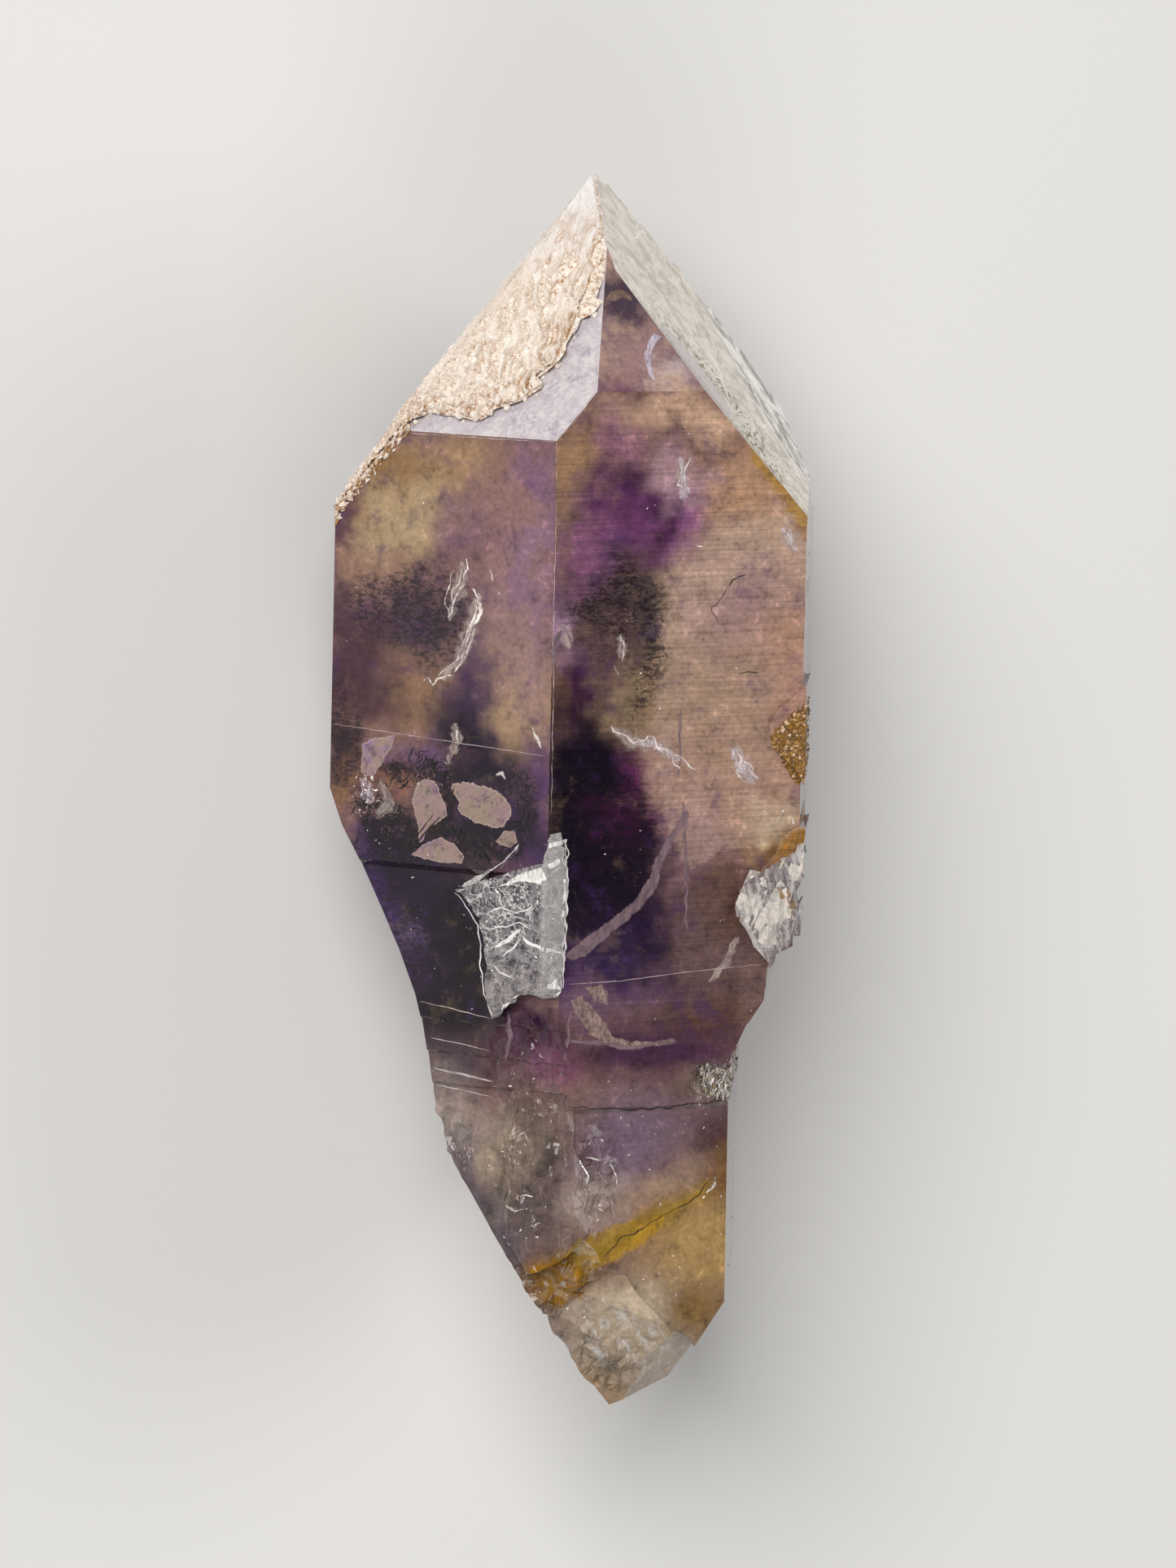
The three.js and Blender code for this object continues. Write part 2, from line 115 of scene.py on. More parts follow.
# Growth zones, as they show through the two front faces: which face, the middle, the half width and half
# height in mm, the lean in degrees, the colour and how much of it there is at the middle
ZONES = [
    # front left face: tan under the point, then smoke, mauve and deep violet towards the stem
    ("L", (-9.66, 56.67), 7.5, 5.2, 0, "#A58360", 1.0),
    ("L", (-12.19, 57.95), 3.2, 2.0, 20, "#87653E", 0.9),
    ("L", (-10.61, 54.57), 4.0, 2.2, 15, "#B59B78", 0.8),
    ("L", (-3.56, 52.70), 3.4, 7.5, 0, "#90696C", 0.9),
    ("L", (-14.90, 53.68), 0.9, 7.0, 0, "#5C3A44", 0.9),
    ("L", (-7.11, 54.89), 1.8, 3.4, -25, "#6E4A66", 0.6),
    ("L", (-10.75, 49.63), 5.0, 2.8, 8, "#4E3644", 0.9),
    ("L", (-8.21, 48.25), 2.2, 2.4, 0, "#46343E", 0.8),
    ("L", (-13.15, 51.73), 1.9, 1.8, 0, "#A07C68", 0.9),
    ("L", (-10.13, 44.56), 4.4, 3.0, 10, "#8E6C54", 0.9),
    ("L", (-13.62, 45.75), 3.0, 5.0, 0, "#4C2E38", 1.0),
    ("L", (-4.45, 48.09), 2.6, 4.5, 0, "#8F706A", 0.8),
    ("L", (-3.34, 43.16), 3.6, 5.0, -20, "#AC8C6E", 0.9),
    ("L", (-2.37, 53.31), 1.0, 8.0, 1, "#7A5680", 0.7),
    ("L", (-5.87, 44.44), 2.0, 4.0, 0, "#4A304E", 0.9),
    ("L", (-5.90, 41.17), 3.4, 3.2, -12, "#12041F", 1.0),
    ("L", (-12.30, 40.59), 2.6, 2.6, 10, "#A47E6E", 0.95),
    ("L", (-10.28, 40.02), 2.4, 1.2, 30, "#7E5A8C", 0.8),
    ("L", (-11.35, 38.41), 2.0, 1.6, 0, "#98694F", 0.85),
    ("L", (-13.90, 40.39), 1.3, 2.6, 0, "#382012", 1.0),
    ("L", (-14.89, 39.85), 0.9, 3.2, 0, "#2A1F20", 0.9),
    ("L", (-2.48, 38.21), 1.8, 5.0, -10, "#5C3B60", 0.9),
    ("L", (-2.41, 35.20), 2.0, 2.0, 0, "#43294E", 0.9),
    ("L", (-13.98, 37.42), 1.6, 2.4, -25, "#8E6844", 0.9),
    ("L", (-12.89, 35.66), 1.6, 2.0, -25, "#A27A6A", 0.9),
    ("L", (-5.12, 37.47), 3.0, 3.6, 0, "#382042", 0.95),
    ("L", (-8.17, 35.08), 3.2, 1.8, 0, "#4C3642", 0.9),
    ("L", (-12.38, 33.29), 2.4, 2.6, 0, "#412456", 0.95),
    ("L", (-9.60, 32.03), 4.0, 3.6, 0, "#241430", 1.0),
    # front right face: violet under the point, a smoky band, near-black violet low on the left, tan on the right
    ("R", (6.48, 62.10), 5.5, 1.5, 0, "#C4A086", 0.95),
    ("R", (-0.69, 58.90), 2.0, 2.6, 0, "#9E7A5C", 0.95),
    ("R", (2.48, 59.81), 1.8, 3.0, 0, "#946874", 0.9),
    ("R", (2.67, 56.08), 2.0, 3.2, 0, "#20032A", 1.0),
    ("R", (2.00, 54.54), 2.6, 3.6, 0, "#66385E", 0.9),
    ("R", (9.08, 57.59), 3.0, 3.0, 0, "#B88F72", 0.9),
    ("R", (11.91, 53.74), 3.6, 3.4, 0, "#BE9E84", 0.95),
    ("R", (7.85, 52.35), 2.8, 2.2, 30, "#C0A288", 0.9),
    ("R", (5.98, 55.28), 2.8, 2.7, 0, "#8E5882", 0.85),
    ("R", (4.68, 55.21), 1.2, 3.0, 0, "#4A2546", 0.85),
    ("R", (5.93, 57.69), 1.9, 2.0, 10, "#B4909A", 0.65),
    ("R", (2.90, 50.34), 3.6, 2.6, 0, "#54433F", 0.95),
    ("R", (0.24, 52.94), 2.0, 2.6, 0, "#80526E", 0.95),
    ("R", (4.26, 47.68), 1.5, 4.4, 0, "#332D37", 0.95),
    ("R", (7.03, 48.86), 2.8, 5.0, -15, "#B89C80", 0.95),
    ("R", (9.76, 49.28), 3.8, 4.2, 0, "#8C6670", 0.9),
    ("R", (12.84, 45.91), 3.0, 5.2, 0, "#9C705E", 0.9),
    ("R", (13.79, 47.89), 1.0, 1.8, 0, "#AE7C58", 0.9),
    ("R", (7.66, 43.05), 5.4, 5.4, 0, "#A08064", 0.9),
    ("R", (13.42, 42.37), 2.2, 4.4, 0, "#A9745C", 0.85),
    ("R", (3.36, 45.20), 2.4, 3.4, 0, "#8E765E", 0.9),
    ("R", (0.81, 45.28), 1.5, 4.6, 0, "#3C1F38", 0.95),
    ("R", (-0.58, 49.44), 1.7, 2.2, 0, "#A07C92", 1.0),
    ("R", (-0.64, 45.32), 1.2, 3.0, 0, "#5C4238", 0.8),
    ("R", (0.48, 40.01), 3.0, 4.4, 0, "#100614", 1.0),
    ("R", (1.74, 35.19), 4.6, 8.0, 0, "#120A1C", 1.0),
    ("R", (3.57, 38.40), 2.0, 3.2, 0, "#6E2A5E", 0.95),
    ("R", (4.68, 37.61), 1.3, 3.4, 0, "#6A4254", 0.8),
    ("R", (5.84, 39.59), 1.8, 4.0, 0, "#AC8A84", 0.95),
    ("R", (9.24, 39.49), 4.6, 3.8, 0, "#A27C64", 0.9),
    ("R", (7.72, 35.76), 2.6, 3.0, 0, "#A07A7A", 0.95),
    ("R", (11.08, 35.41), 3.0, 2.4, 0, "#95745C", 0.8),
    ("R", (13.81, 36.13), 1.2, 2.4, 25, "#A06E26", 1.0),
    ("R", (12.88, 37.51), 1.8, 1.2, 15, "#CDB795", 0.9),
    ("R", (9.78, 32.83), 3.0, 2.0, 0, "#684E46", 0.95),
    ("R", (4.70, 30.07), 4.0, 6.0, 0, "#2A1834", 0.95),
    ("R", (9.23, 28.42), 4.2, 4.8, 0, "#6A5250", 0.95),
    ("R", (10.16, 31.66), 1.8, 3.0, 0, "#60443A", 0.7),
    ("R", (0.99, 28.42), 2.6, 4.0, 0, "#382646", 0.9),
    ("R", (2.30, 25.87), 3.4, 2.0, 0, "#6E5266", 0.8),
    # the stem
    ("S", (-8.78, 28.98), 5.0, 6.0, 10, "#261630", 1.0),
    ("S", (-11.57, 30.23), 1.4, 3.4, 28, "#3E2456", 0.9),
    ("S", (-10.17, 30.46), 1.2, 1.8, 20, "#604A68", 0.7),
    ("S", (-6.94, 29.55), 2.2, 3.6, 0, "#0C060E", 1.0),
    ("S", (-8.97, 26.20), 2.2, 1.8, 0, "#4A3058", 0.7),
    ("S", (-6.95, 25.22), 3.4, 3.0, 0, "#1A0E18", 1.0),
    ("S", (-7.11, 21.59), 3.4, 2.4, 0, "#42323C", 0.9),
    ("S", (-2.22, 24.14), 2.4, 2.4, 0, "#32112E", 1.0),
    ("S", (-0.97, 22.11), 1.9, 1.6, 0, "#9E647C", 0.95),
    ("S", (-7.26, 17.08), 2.6, 4.0, 0, "#AC9C92", 0.9),
    ("S", (-4.17, 13.03), 3.0, 4.6, 20, "#6E5E66", 0.85),
    ("S", (-1.77, 17.56), 2.8, 4.0, 0, "#7A685C", 0.9),
    ("S", (-3.73, 16.01), 2.0, 3.0, 0, "#A6947F", 0.95),
    ("S", (-1.67, 13.29), 3.0, 3.4, 0, "#6A5A54", 0.9),
    ("S", (9.25, 21.08), 1.8, 1.4, 0, "#9A917A", 1.0),
    ("S", (7.57, 20.18), 1.6, 1.0, 0, "#6E6238", 0.8),
    ("S", (8.06, 24.94), 3.4, 2.0, 0, "#5A4036", 0.9),
    ("S", (5.11, 23.02), 8.0, 1.8, 0, "#4A2E42", 0.9),
    ("S", (7.70, 18.91), 5.0, 2.2, 0, "#70585A", 0.95),
    ("S", (3.74, 17.53), 3.6, 3.6, 0, "#7A6574", 0.9),
    ("S", (2.06, 14.16), 2.4, 2.0, 0, "#B09C92", 0.9),
    ("S", (9.73, 17.34), 1.7, 2.0, 0, "#4A3438", 0.9),
    ("S", (5.30, 14.45), 5.0, 1.0, 22, "#9A8070", 0.8),
    ("S", (8.48, 10.69), 4.4, 4.0, 0, "#B2905C", 1.0),
    ("S", (4.85, 12.23), 6.6, 0.9, 27, "#A07E3C", 0.9),
    ("S", (-4.65, 12.01), 1.3, 6.0, 32, "#5C5256", 0.9),
    ("S", (-0.08, 9.10), 2.6, 2.0, 22, "#8A6618", 1.0),
    ("S", (-1.47, 8.76), 1.0, 1.4, 30, "#8A5A14", 0.9),
    ("S", (9.88, 15.36), 1.4, 2.2, -20, "#7A5834", 0.95),
    ("S", (4.01, 4.96), 5.4, 4.4, 0, "#B09C82", 1.0),
    ("S", (4.21, 6.97), 3.0, 1.6, 0, "#C6B298", 0.9),
    ("S", (8.28, 6.46), 2.0, 2.6, 30, "#86683E", 0.9),
    ("S", (2.08, 1.89), 3.0, 1.4, -30, "#B08E62", 0.7),
]

# Growth sectors, whose rims are sharper than the zones': which face, the outline, the colour and how much
SECTORS = [
    ("R", [(9.62, 55.57), (7.52, 53.52), (6.21, 51.65), (5.11, 49.57), (4.95, 47.66), (5.02, 44.64), (5.32, 40.11), (5.59, 37.08), (6.44, 34.94), (7.36, 34.21), (8.64, 34.98), (10.08, 35.44), (11.81, 35.89), (15.29, 36.78), (14.87, 55.40)], "#BC9E8E", 0.42),
    ("R", [(4.91, 49.58), (2.95, 52.50), (0.46, 52.23), (-1.06, 52.88), (-1.09, 49.86), (0.13, 49.07), (2.54, 48.24), (4.61, 45.16)], "#3C2E34", 0.35),
    ("L", [(-5.57, 53.02), (-3.62, 55.71), (-1.82, 55.87), (-1.63, 42.82), (-3.36, 44.17), (-4.82, 46.55)], "#9C7C78", 0.35),
    ("L", [(-14.94, 42.11), (-8.06, 41.63), (-5.31, 41.43), (-7.27, 39.54), (-10.27, 39.62), (-13.23, 37.49), (-14.86, 38.60)], "#4A2F3C", 0.4),
    ("R", [(-0.82, 42.56), (1.45, 41.48), (4.26, 38.63), (5.10, 34.58), (3.43, 31.11), (-0.04, 29.71), (-0.90, 32.76)], "#120A18", 0.7),
    ("R", [(10.16, 60.58), (11.78, 59.72), (13.32, 57.77), (14.77, 55.41), (14.00, 54.22), (12.67, 55.67), (11.53, 57.22), (10.39, 59.06)], "#B08438", 0.75),
    ("R", [(13.77, 55.54), (14.63, 55.11), (15.52, 53.27), (14.71, 53.60)], "#5E4420", 0.6),
    ("S", [(0.08, 10.86), (1.21, 11.79), (3.34, 12.54), (6.09, 12.86), (8.31, 14.32), (8.79, 14.93), (8.61, 14.13), (6.09, 12.66), (4.11, 11.71), (2.50, 10.01), (1.62, 9.13), (0.75, 9.97)], "#A07C2A", 0.8),
    ("S", [(2.50, 10.01), (3.18, 10.93), (4.11, 11.81), (5.35, 12.39), (6.09, 12.81), (5.95, 12.20), (5.37, 11.54), (4.38, 10.91), (3.15, 10.23)], "#C0922A", 0.8),
    ("S", [(-2.19, 9.55), (-1.11, 10.18), (0.08, 10.86), (0.75, 9.97), (1.62, 9.13), (1.44, 8.22), (-0.28, 6.88), (-0.99, 7.26), (-1.92, 8.75)], "#96690C", 0.95),
]
# Where dark threads like moss, fine smoke and clear windows show: the middle, half width and height and lean
MOSS = [((-11.03, 35.62), 2.8, 2.2, -20), ((-7.83, 37.98), 1.5, 2.8, 0), ((-5.58, 35.82), 3.0, 1.7, 12), ((-8.27, 39.45), 4.2, 1.1, 4), ((-3.63, 38.11), 1.0, 2.4, 0)]

# Lines in and on the quartz, each a width in mm and the points it runs through, seen from the front
HEALED = [
    (0.30, [(-6.82, 52.86), (-6.70, 52.26), (-6.93, 51.39), (-7.37, 50.59), (-7.65, 49.81), (-7.78, 49.15)]),
    (0.16, [(-7.40, 52.15), (-7.79, 51.56), (-7.97, 50.79), (-8.00, 50.03), (-7.74, 49.40)]),
    (0.34, [(-6.42, 51.03), (-6.12, 50.91), (-5.81, 50.63)]),
    (0.36, [(-6.31, 50.54), (-5.90, 50.17), (-5.84, 49.63), (-6.08, 49.10), (-6.47, 48.61), (-6.61, 48.00), (-6.59, 47.44)]),
    (0.24, [(-6.59, 47.44), (-6.93, 46.86), (-7.27, 46.33), (-7.41, 45.91)]),
    (0.14, [(-6.22, 48.84), (-6.40, 47.91), (-6.64, 47.09), (-7.02, 46.45), (-7.26, 46.03)]),
    (0.24, [(-7.46, 45.86), (-8.15, 45.54), (-8.50, 45.41), (-8.74, 45.09), (-9.00, 45.26), (-9.25, 45.14)]),
    (0.14, [(-7.05, 52.28), (-7.24, 51.56), (-7.52, 50.93), (-7.71, 50.21)]),
    (0.20, [(-6.21, 50.35), (-6.10, 49.85), (-6.28, 49.23), (-6.57, 48.60), (-6.85, 47.87), (-6.84, 47.17)]),
    (0.12, [(-6.00, 49.96), (-6.18, 48.94), (-6.36, 48.22), (-6.74, 47.38), (-7.23, 46.73)]),
    (0.12, [(-7.14, 47.04), (-7.52, 46.40), (-8.01, 45.86), (-8.41, 45.62)]),
    (0.40, [(-6.07, 50.81), (-5.91, 50.47)]),
    (0.16, [(-5.35, 52.34), (-5.19, 51.95), (-5.24, 51.64)]),
    (0.22, [(-7.24, 42.66), (-7.08, 42.22), (-7.22, 41.86), (-6.96, 41.63)]),
    (0.12, [(-7.01, 41.57), (-7.30, 41.09), (-7.59, 40.51)]),
    (0.30, [(-2.54, 42.99), (-2.38, 42.65), (-2.07, 42.17), (-1.91, 41.79)]),
    (0.50, [(-4.72, 39.92), (-4.37, 40.00), (-4.16, 39.67)]),
    (0.36, [(2.26, 43.07), (2.67, 42.75), (3.08, 42.29), (3.58, 41.97), (4.18, 42.10), (4.42, 42.40)]),
    (0.30, [(4.42, 42.40), (4.99, 41.88), (5.50, 41.41), (6.00, 41.14)]),
    (0.16, [(6.00, 41.14), (6.71, 40.67), (7.37, 40.10)]),
    (0.22, [(6.00, 41.09), (6.21, 40.58), (6.32, 40.28)]),
    (0.30, [(6.05, 58.94), (6.12, 58.19), (5.98, 57.69), (6.48, 57.37)]),
    (0.16, [(6.54, 59.28), (6.41, 58.43), (6.73, 57.77)]),
    (0.34, [(2.64, 48.49), (2.80, 47.83), (2.72, 47.13)]),
    (0.14, [(2.43, 46.73), (2.44, 46.13)]),
    (0.20, [(7.06, 53.98), (7.51, 53.82)]),
    (0.30, [(12.74, 54.72), (12.90, 54.21), (13.21, 53.64)]),
    (0.16, [(12.50, 54.37), (12.81, 53.86)]),
    (0.34, [(9.84, 41.58), (10.11, 40.72), (10.02, 40.17)]),
    (0.26, [(10.30, 41.06), (10.71, 40.45), (10.98, 39.68)]),
    (0.14, [(9.66, 40.48), (10.33, 39.55), (11.04, 39.18)]),
    (0.24, [(-2.69, 14.03), (-2.29, 14.11), (-1.94, 14.24)]),
    (0.30, [(-3.57, 13.40), (-2.97, 13.15), (-2.42, 13.29)]),
    (0.24, [(-2.97, 17.59), (-2.53, 18.03), (-2.01, 17.46)]),
    (0.22, [(1.26, 16.70), (2.01, 16.47), (2.66, 16.55)]),
    (0.16, [(2.66, 16.35), (3.08, 15.54), (3.30, 14.72)]),
    (0.20, [(1.98, 13.56), (2.43, 13.24)]),
    (0.24, [(9.29, 14.99), (9.05, 14.33), (8.66, 14.07)]),
    (0.30, [(0.47, 6.79), (0.78, 5.99), (1.10, 5.49)]),
    (0.20, [(0.88, 6.29), (1.39, 5.80)]),
]
GROWTH_LINES = [
    (0.045, [(-14.99, 42.15), (-12.33, 41.99), (-8.82, 41.76), (-5.31, 41.53), (-1.60, 41.31)]),
    (0.05, [(0.02, 27.40), (3.01, 27.46), (7.00, 27.84), (11.74, 28.14)]),
    (0.07, [(-9.10, 25.48), (-6.95, 25.22), (-4.73, 24.87)]),
    (0.07, [(-8.40, 23.28), (-6.40, 23.11), (-4.69, 22.86)]),
    (0.18, [(-8.16, 21.39), (-6.35, 21.20), (-4.54, 20.97)]),
    (0.08, [(-8.04, 20.35), (-6.33, 20.20), (-4.52, 19.96)]),
]
PALE = [
    (1.5, [(-6.96, 52.64), (-7.13, 51.37), (-7.50, 50.08), (-7.88, 49.04)]),
    (1.6, [(-6.02, 50.87), (-6.19, 49.44), (-6.65, 47.89), (-7.32, 46.42), (-8.15, 45.44)]),
    (1.3, [(-7.24, 42.81), (-7.21, 41.55), (-7.68, 40.25)]),
    (1.6, [(2.16, 43.07), (3.43, 42.08), (4.69, 41.89), (6.20, 40.99)]),
    (1.6, [(9.68, 41.89), (10.21, 40.71), (10.84, 39.34)]),
    (1.3, [(6.19, 59.19), (6.12, 58.09), (6.44, 57.07)]),
    (1.2, [(2.64, 48.64), (2.77, 46.98)]),
    (1.3, [(12.48, 54.87), (13.12, 53.35)]),
    (1.5, [(-11.76, 38.88), (-11.33, 37.66), (-11.96, 36.60)]),
    (1.5, [(-0.98, 49.35), (-0.44, 47.83)]),
    (1.0, [(14.02, 53.22), (14.15, 51.81), (13.99, 50.30)]),
    (1.0, [(8.51, 27.19), (9.58, 28.41), (10.20, 29.90)]),
]
VEILS = [
    (0.16, [(6.34, 44.00), (6.38, 42.09), (6.38, 39.82)]),
    (0.22, [(6.66, 38.31), (6.88, 35.53), (6.99, 32.51), (7.05, 30.00)]),
    (0.50, [(0.10, 23.88), (2.10, 23.76), (3.85, 23.41), (5.40, 23.51), (6.60, 23.63)]),
    (0.55, [(0.34, 26.38), (0.95, 25.76), (1.47, 24.89), (2.19, 24.01)]),
    (0.40, [(1.87, 27.24), (2.28, 26.52), (2.35, 26.02)]),
    (0.40, [(-0.97, 48.91), (-1.44, 47.86), (-1.32, 46.87)]),
    (0.34, [(-3.69, 25.40), (-3.51, 23.90), (-3.78, 22.36)]),
    (0.30, [(0.06, 25.70), (-0.05, 23.68), (-0.36, 21.89)]),
]
DARK = [
    (0.16, [(9.12, 51.36), (9.41, 51.75), (9.75, 51.99), (10.15, 52.08)]),
    (0.08, [(8.52, 49.06), (8.10, 50.18), (8.68, 50.67), (9.12, 51.36)]),
    (0.10, [(9.84, 46.00), (10.48, 46.14), (11.08, 46.12)]),
    (0.11, [(-7.96, 37.16), (-8.60, 36.45), (-9.18, 35.69), (-9.71, 34.74)]),
    (0.11, [(-8.15, 36.64), (-8.84, 36.08), (-9.47, 35.21)]),
    (0.11, [(-8.52, 37.21), (-9.14, 36.20), (-9.77, 35.24), (-10.20, 34.34)]),
    (0.11, [(-7.71, 36.93), (-8.34, 36.22), (-8.83, 35.57)]),
    (0.11, [(-7.25, 38.99), (-7.44, 38.27), (-7.22, 37.48), (-7.41, 36.86)]),
    (0.12, [(-11.66, 34.46), (-10.65, 33.95), (-8.64, 33.68), (-6.88, 33.34)]),
    (0.14, [(0.19, 19.85), (3.69, 19.54), (6.19, 19.56), (8.18, 19.75), (10.43, 19.84)]),
    (0.12, [(2.49, 10.37), (2.98, 11.08), (3.47, 11.59), (4.36, 11.77), (5.35, 12.49), (6.09, 12.81)]),
    (0.10, [(6.09, 12.88), (7.57, 13.49), (8.21, 14.07), (8.89, 14.85)]),
]
# Flat flakes just under the surface, by their outlines
WINDOWS = [
    [(-9.66, 38.97), (-9.07, 39.37), (-8.36, 39.29), (-8.10, 38.61), (-7.73, 37.84), (-7.61, 37.14), (-8.05, 36.70), (-8.60, 36.35), (-9.03, 35.51), (-9.37, 35.17), (-9.50, 36.57), (-9.93, 37.79)],
    [(-7.46, 39.17), (-6.51, 39.46), (-5.41, 39.26), (-4.30, 38.85), (-3.73, 38.20), (-3.66, 37.45), (-4.10, 36.71), (-4.89, 36.54), (-5.50, 36.68), (-6.05, 36.83), (-6.71, 37.17), (-7.12, 37.59), (-6.93, 38.06), (-7.34, 38.43)],
    [(-9.86, 34.52), (-9.07, 35.30), (-7.93, 35.86), (-7.07, 35.48), (-6.51, 34.73), (-6.74, 34.20), (-7.90, 34.20), (-9.05, 34.30)],
    [(-4.63, 35.81), (-4.14, 36.55), (-3.50, 36.71), (-3.28, 35.93), (-3.77, 35.53), (-4.37, 35.63)],
    [(-13.01, 41.08), (-12.22, 41.55), (-10.92, 41.82), (-11.01, 41.26), (-11.59, 40.15), (-12.07, 39.25), (-12.76, 38.99), (-13.07, 39.36)],
]
GLASSY = [
    [(-4.52, 33.04), (-3.14, 34.07), (-2.04, 34.47), (-0.66, 35.20), (-0.40, 34.72), (-1.14, 34.25), (-1.82, 33.58), (-3.13, 33.57)],
    [(-1.78, 35.95), (-0.33, 36.34), (-0.30, 32.82), (-0.34, 29.80), (-0.47, 27.07), (-1.73, 27.26), (-1.73, 31.68)],
    [(-7.01, 32.61), (-6.12, 33.29), (-5.14, 33.89), (-4.15, 34.73), (-3.18, 35.88), (-3.37, 35.36), (-4.54, 34.04), (-5.62, 33.14), (-6.51, 32.65)],
]
WINGS = [
    [(-0.01, 26.39), (0.73, 26.72), (1.55, 25.94), (2.32, 25.01), (2.69, 24.20), (3.89, 23.81), (5.39, 23.71), (6.69, 23.82), (5.40, 23.36), (3.70, 23.36), (2.20, 23.56), (1.19, 24.24), (0.46, 25.37)],
    [(0.92, 27.22), (2.02, 27.34), (2.43, 26.52), (2.25, 25.92), (1.54, 26.24)],
    [(-0.57, 8.73), (0.02, 8.95), (0.67, 9.21), (1.29, 8.37), (0.74, 8.21), (0.03, 8.44)],
]
# Blades of clear quartz among the shards, feathery healed cracks, and films stained by iron
BLADES = [
    [(12.72, 33.39), (13.18, 32.83), (13.50, 32.21), (13.72, 31.05), (13.59, 30.15), (13.06, 29.36), (11.96, 29.34), (11.05, 29.77), (11.14, 30.48), (11.52, 31.27), (12.24, 32.55)],
    [(10.86, 34.00), (11.46, 33.83), (11.87, 33.27), (11.99, 32.66), (11.51, 31.57), (11.04, 30.38), (10.63, 30.69), (10.31, 31.51), (10.05, 32.02), (10.29, 32.71), (10.57, 33.41)],
    [(12.90, 34.24), (13.44, 34.83), (14.12, 35.41), (14.29, 34.50), (14.01, 33.61), (13.57, 33.22), (13.06, 33.63)],
]
FEATHERS = [
    [(9.24, 41.65), (9.79, 41.58), (10.10, 40.97), (10.76, 40.54), (11.28, 39.67), (11.24, 39.12), (10.44, 39.30), (9.87, 39.97), (9.56, 40.68)],
    [(5.79, 59.30), (6.24, 59.39), (6.47, 58.18), (6.74, 57.06), (6.25, 56.57), (5.85, 56.89), (5.97, 57.99)],
    [(-13.11, 39.01), (-12.67, 39.15), (-12.26, 38.73), (-12.08, 37.64), (-12.52, 37.25), (-13.03, 37.66)],
    [(3.68, 42.27), (4.68, 42.34), (5.89, 41.60), (6.61, 40.77), (6.01, 40.69), (5.00, 41.43), (3.99, 41.76)],
    [(12.14, 54.89), (12.68, 55.07), (13.30, 54.25), (13.52, 53.43), (13.01, 53.55), (12.40, 54.07)],
]
AMBER = [[(1.27, 68.70), (1.56, 69.15), (2.21, 69.27), (2.77, 68.93), (2.93, 68.51), (2.27, 68.67), (1.73, 68.46)]]
LONG_VEIL = [[(6.87, 37.85), (6.39, 37.16), (5.72, 36.07), (5.04, 34.89), (4.67, 33.69), (3.80, 32.41), (2.53, 31.34), (1.25, 30.48), (0.26, 29.70), (-0.32, 29.12), (0.18, 28.80), (0.98, 29.08), (1.76, 29.76), (2.94, 30.73), (4.31, 31.89), (5.18, 33.07), (5.45, 34.37), (6.03, 35.56), (6.60, 36.65), (7.08, 37.54)]]
CRESCENT = [[(4.71, 66.85), (4.22, 66.68), (3.88, 66.23), (3.65, 65.60), (3.61, 64.91), (3.78, 64.30), (4.14, 63.88), (4.44, 63.96), (4.22, 64.47), (4.11, 65.12), (4.24, 65.76), (4.53, 66.21), (5.02, 66.57)]]
STAINS = [
    (0.7, [(12.63, 32.94), (12.89, 32.43), (13.30, 31.82), (13.57, 31.21)]),
    (0.5, [(13.18, 32.73), (13.50, 32.11), (13.71, 31.40)]),
    (1.0, [(14.28, 37.17), (14.00, 36.62), (13.61, 35.93), (13.33, 35.24)]),
    (0.9, [(14.39, 36.71), (14.01, 36.02), (13.62, 35.33)]),
]
PLATE_CRACKS = [
    (0.30, [(-4.53, 29.42), (-3.94, 29.87), (-3.35, 30.33), (-3.06, 30.66)]),
    (0.26, [(-2.90, 30.27), (-2.29, 29.77), (-1.63, 29.58), (-0.53, 29.43)]),
    (0.12, [(-4.66, 28.40), (-4.25, 27.93), (-3.39, 27.61)]),
    (0.10, [(-5.08, 31.38), (-4.19, 31.96), (-3.28, 31.54), (-2.39, 32.02)]),
    (0.10, [(-5.57, 30.83), (-4.76, 30.50), (-3.07, 31.06), (-2.31, 30.72)]),
    (0.12, [(-4.02, 28.86), (-3.43, 29.42), (-3.05, 30.05)]),
    (0.30, [(-4.33, 25.01), (-3.85, 25.86), (-3.16, 26.42), (-2.47, 26.79), (-1.56, 26.57), (-0.96, 26.62), (-0.47, 26.97)]),
    (0.09, [(-7.11, 32.40), (-6.49, 31.85), (-6.08, 31.19), (-5.66, 30.52), (-5.43, 29.33), (-5.40, 27.83), (-5.17, 26.34), (-4.53, 24.99)]),
    (0.12, [(-0.33, 36.24), (-0.26, 33.32), (-0.30, 30.30), (-0.38, 27.18)]),
    (0.20, [(-7.01, 32.41), (-5.87, 33.32), (-4.84, 34.11)]),
]
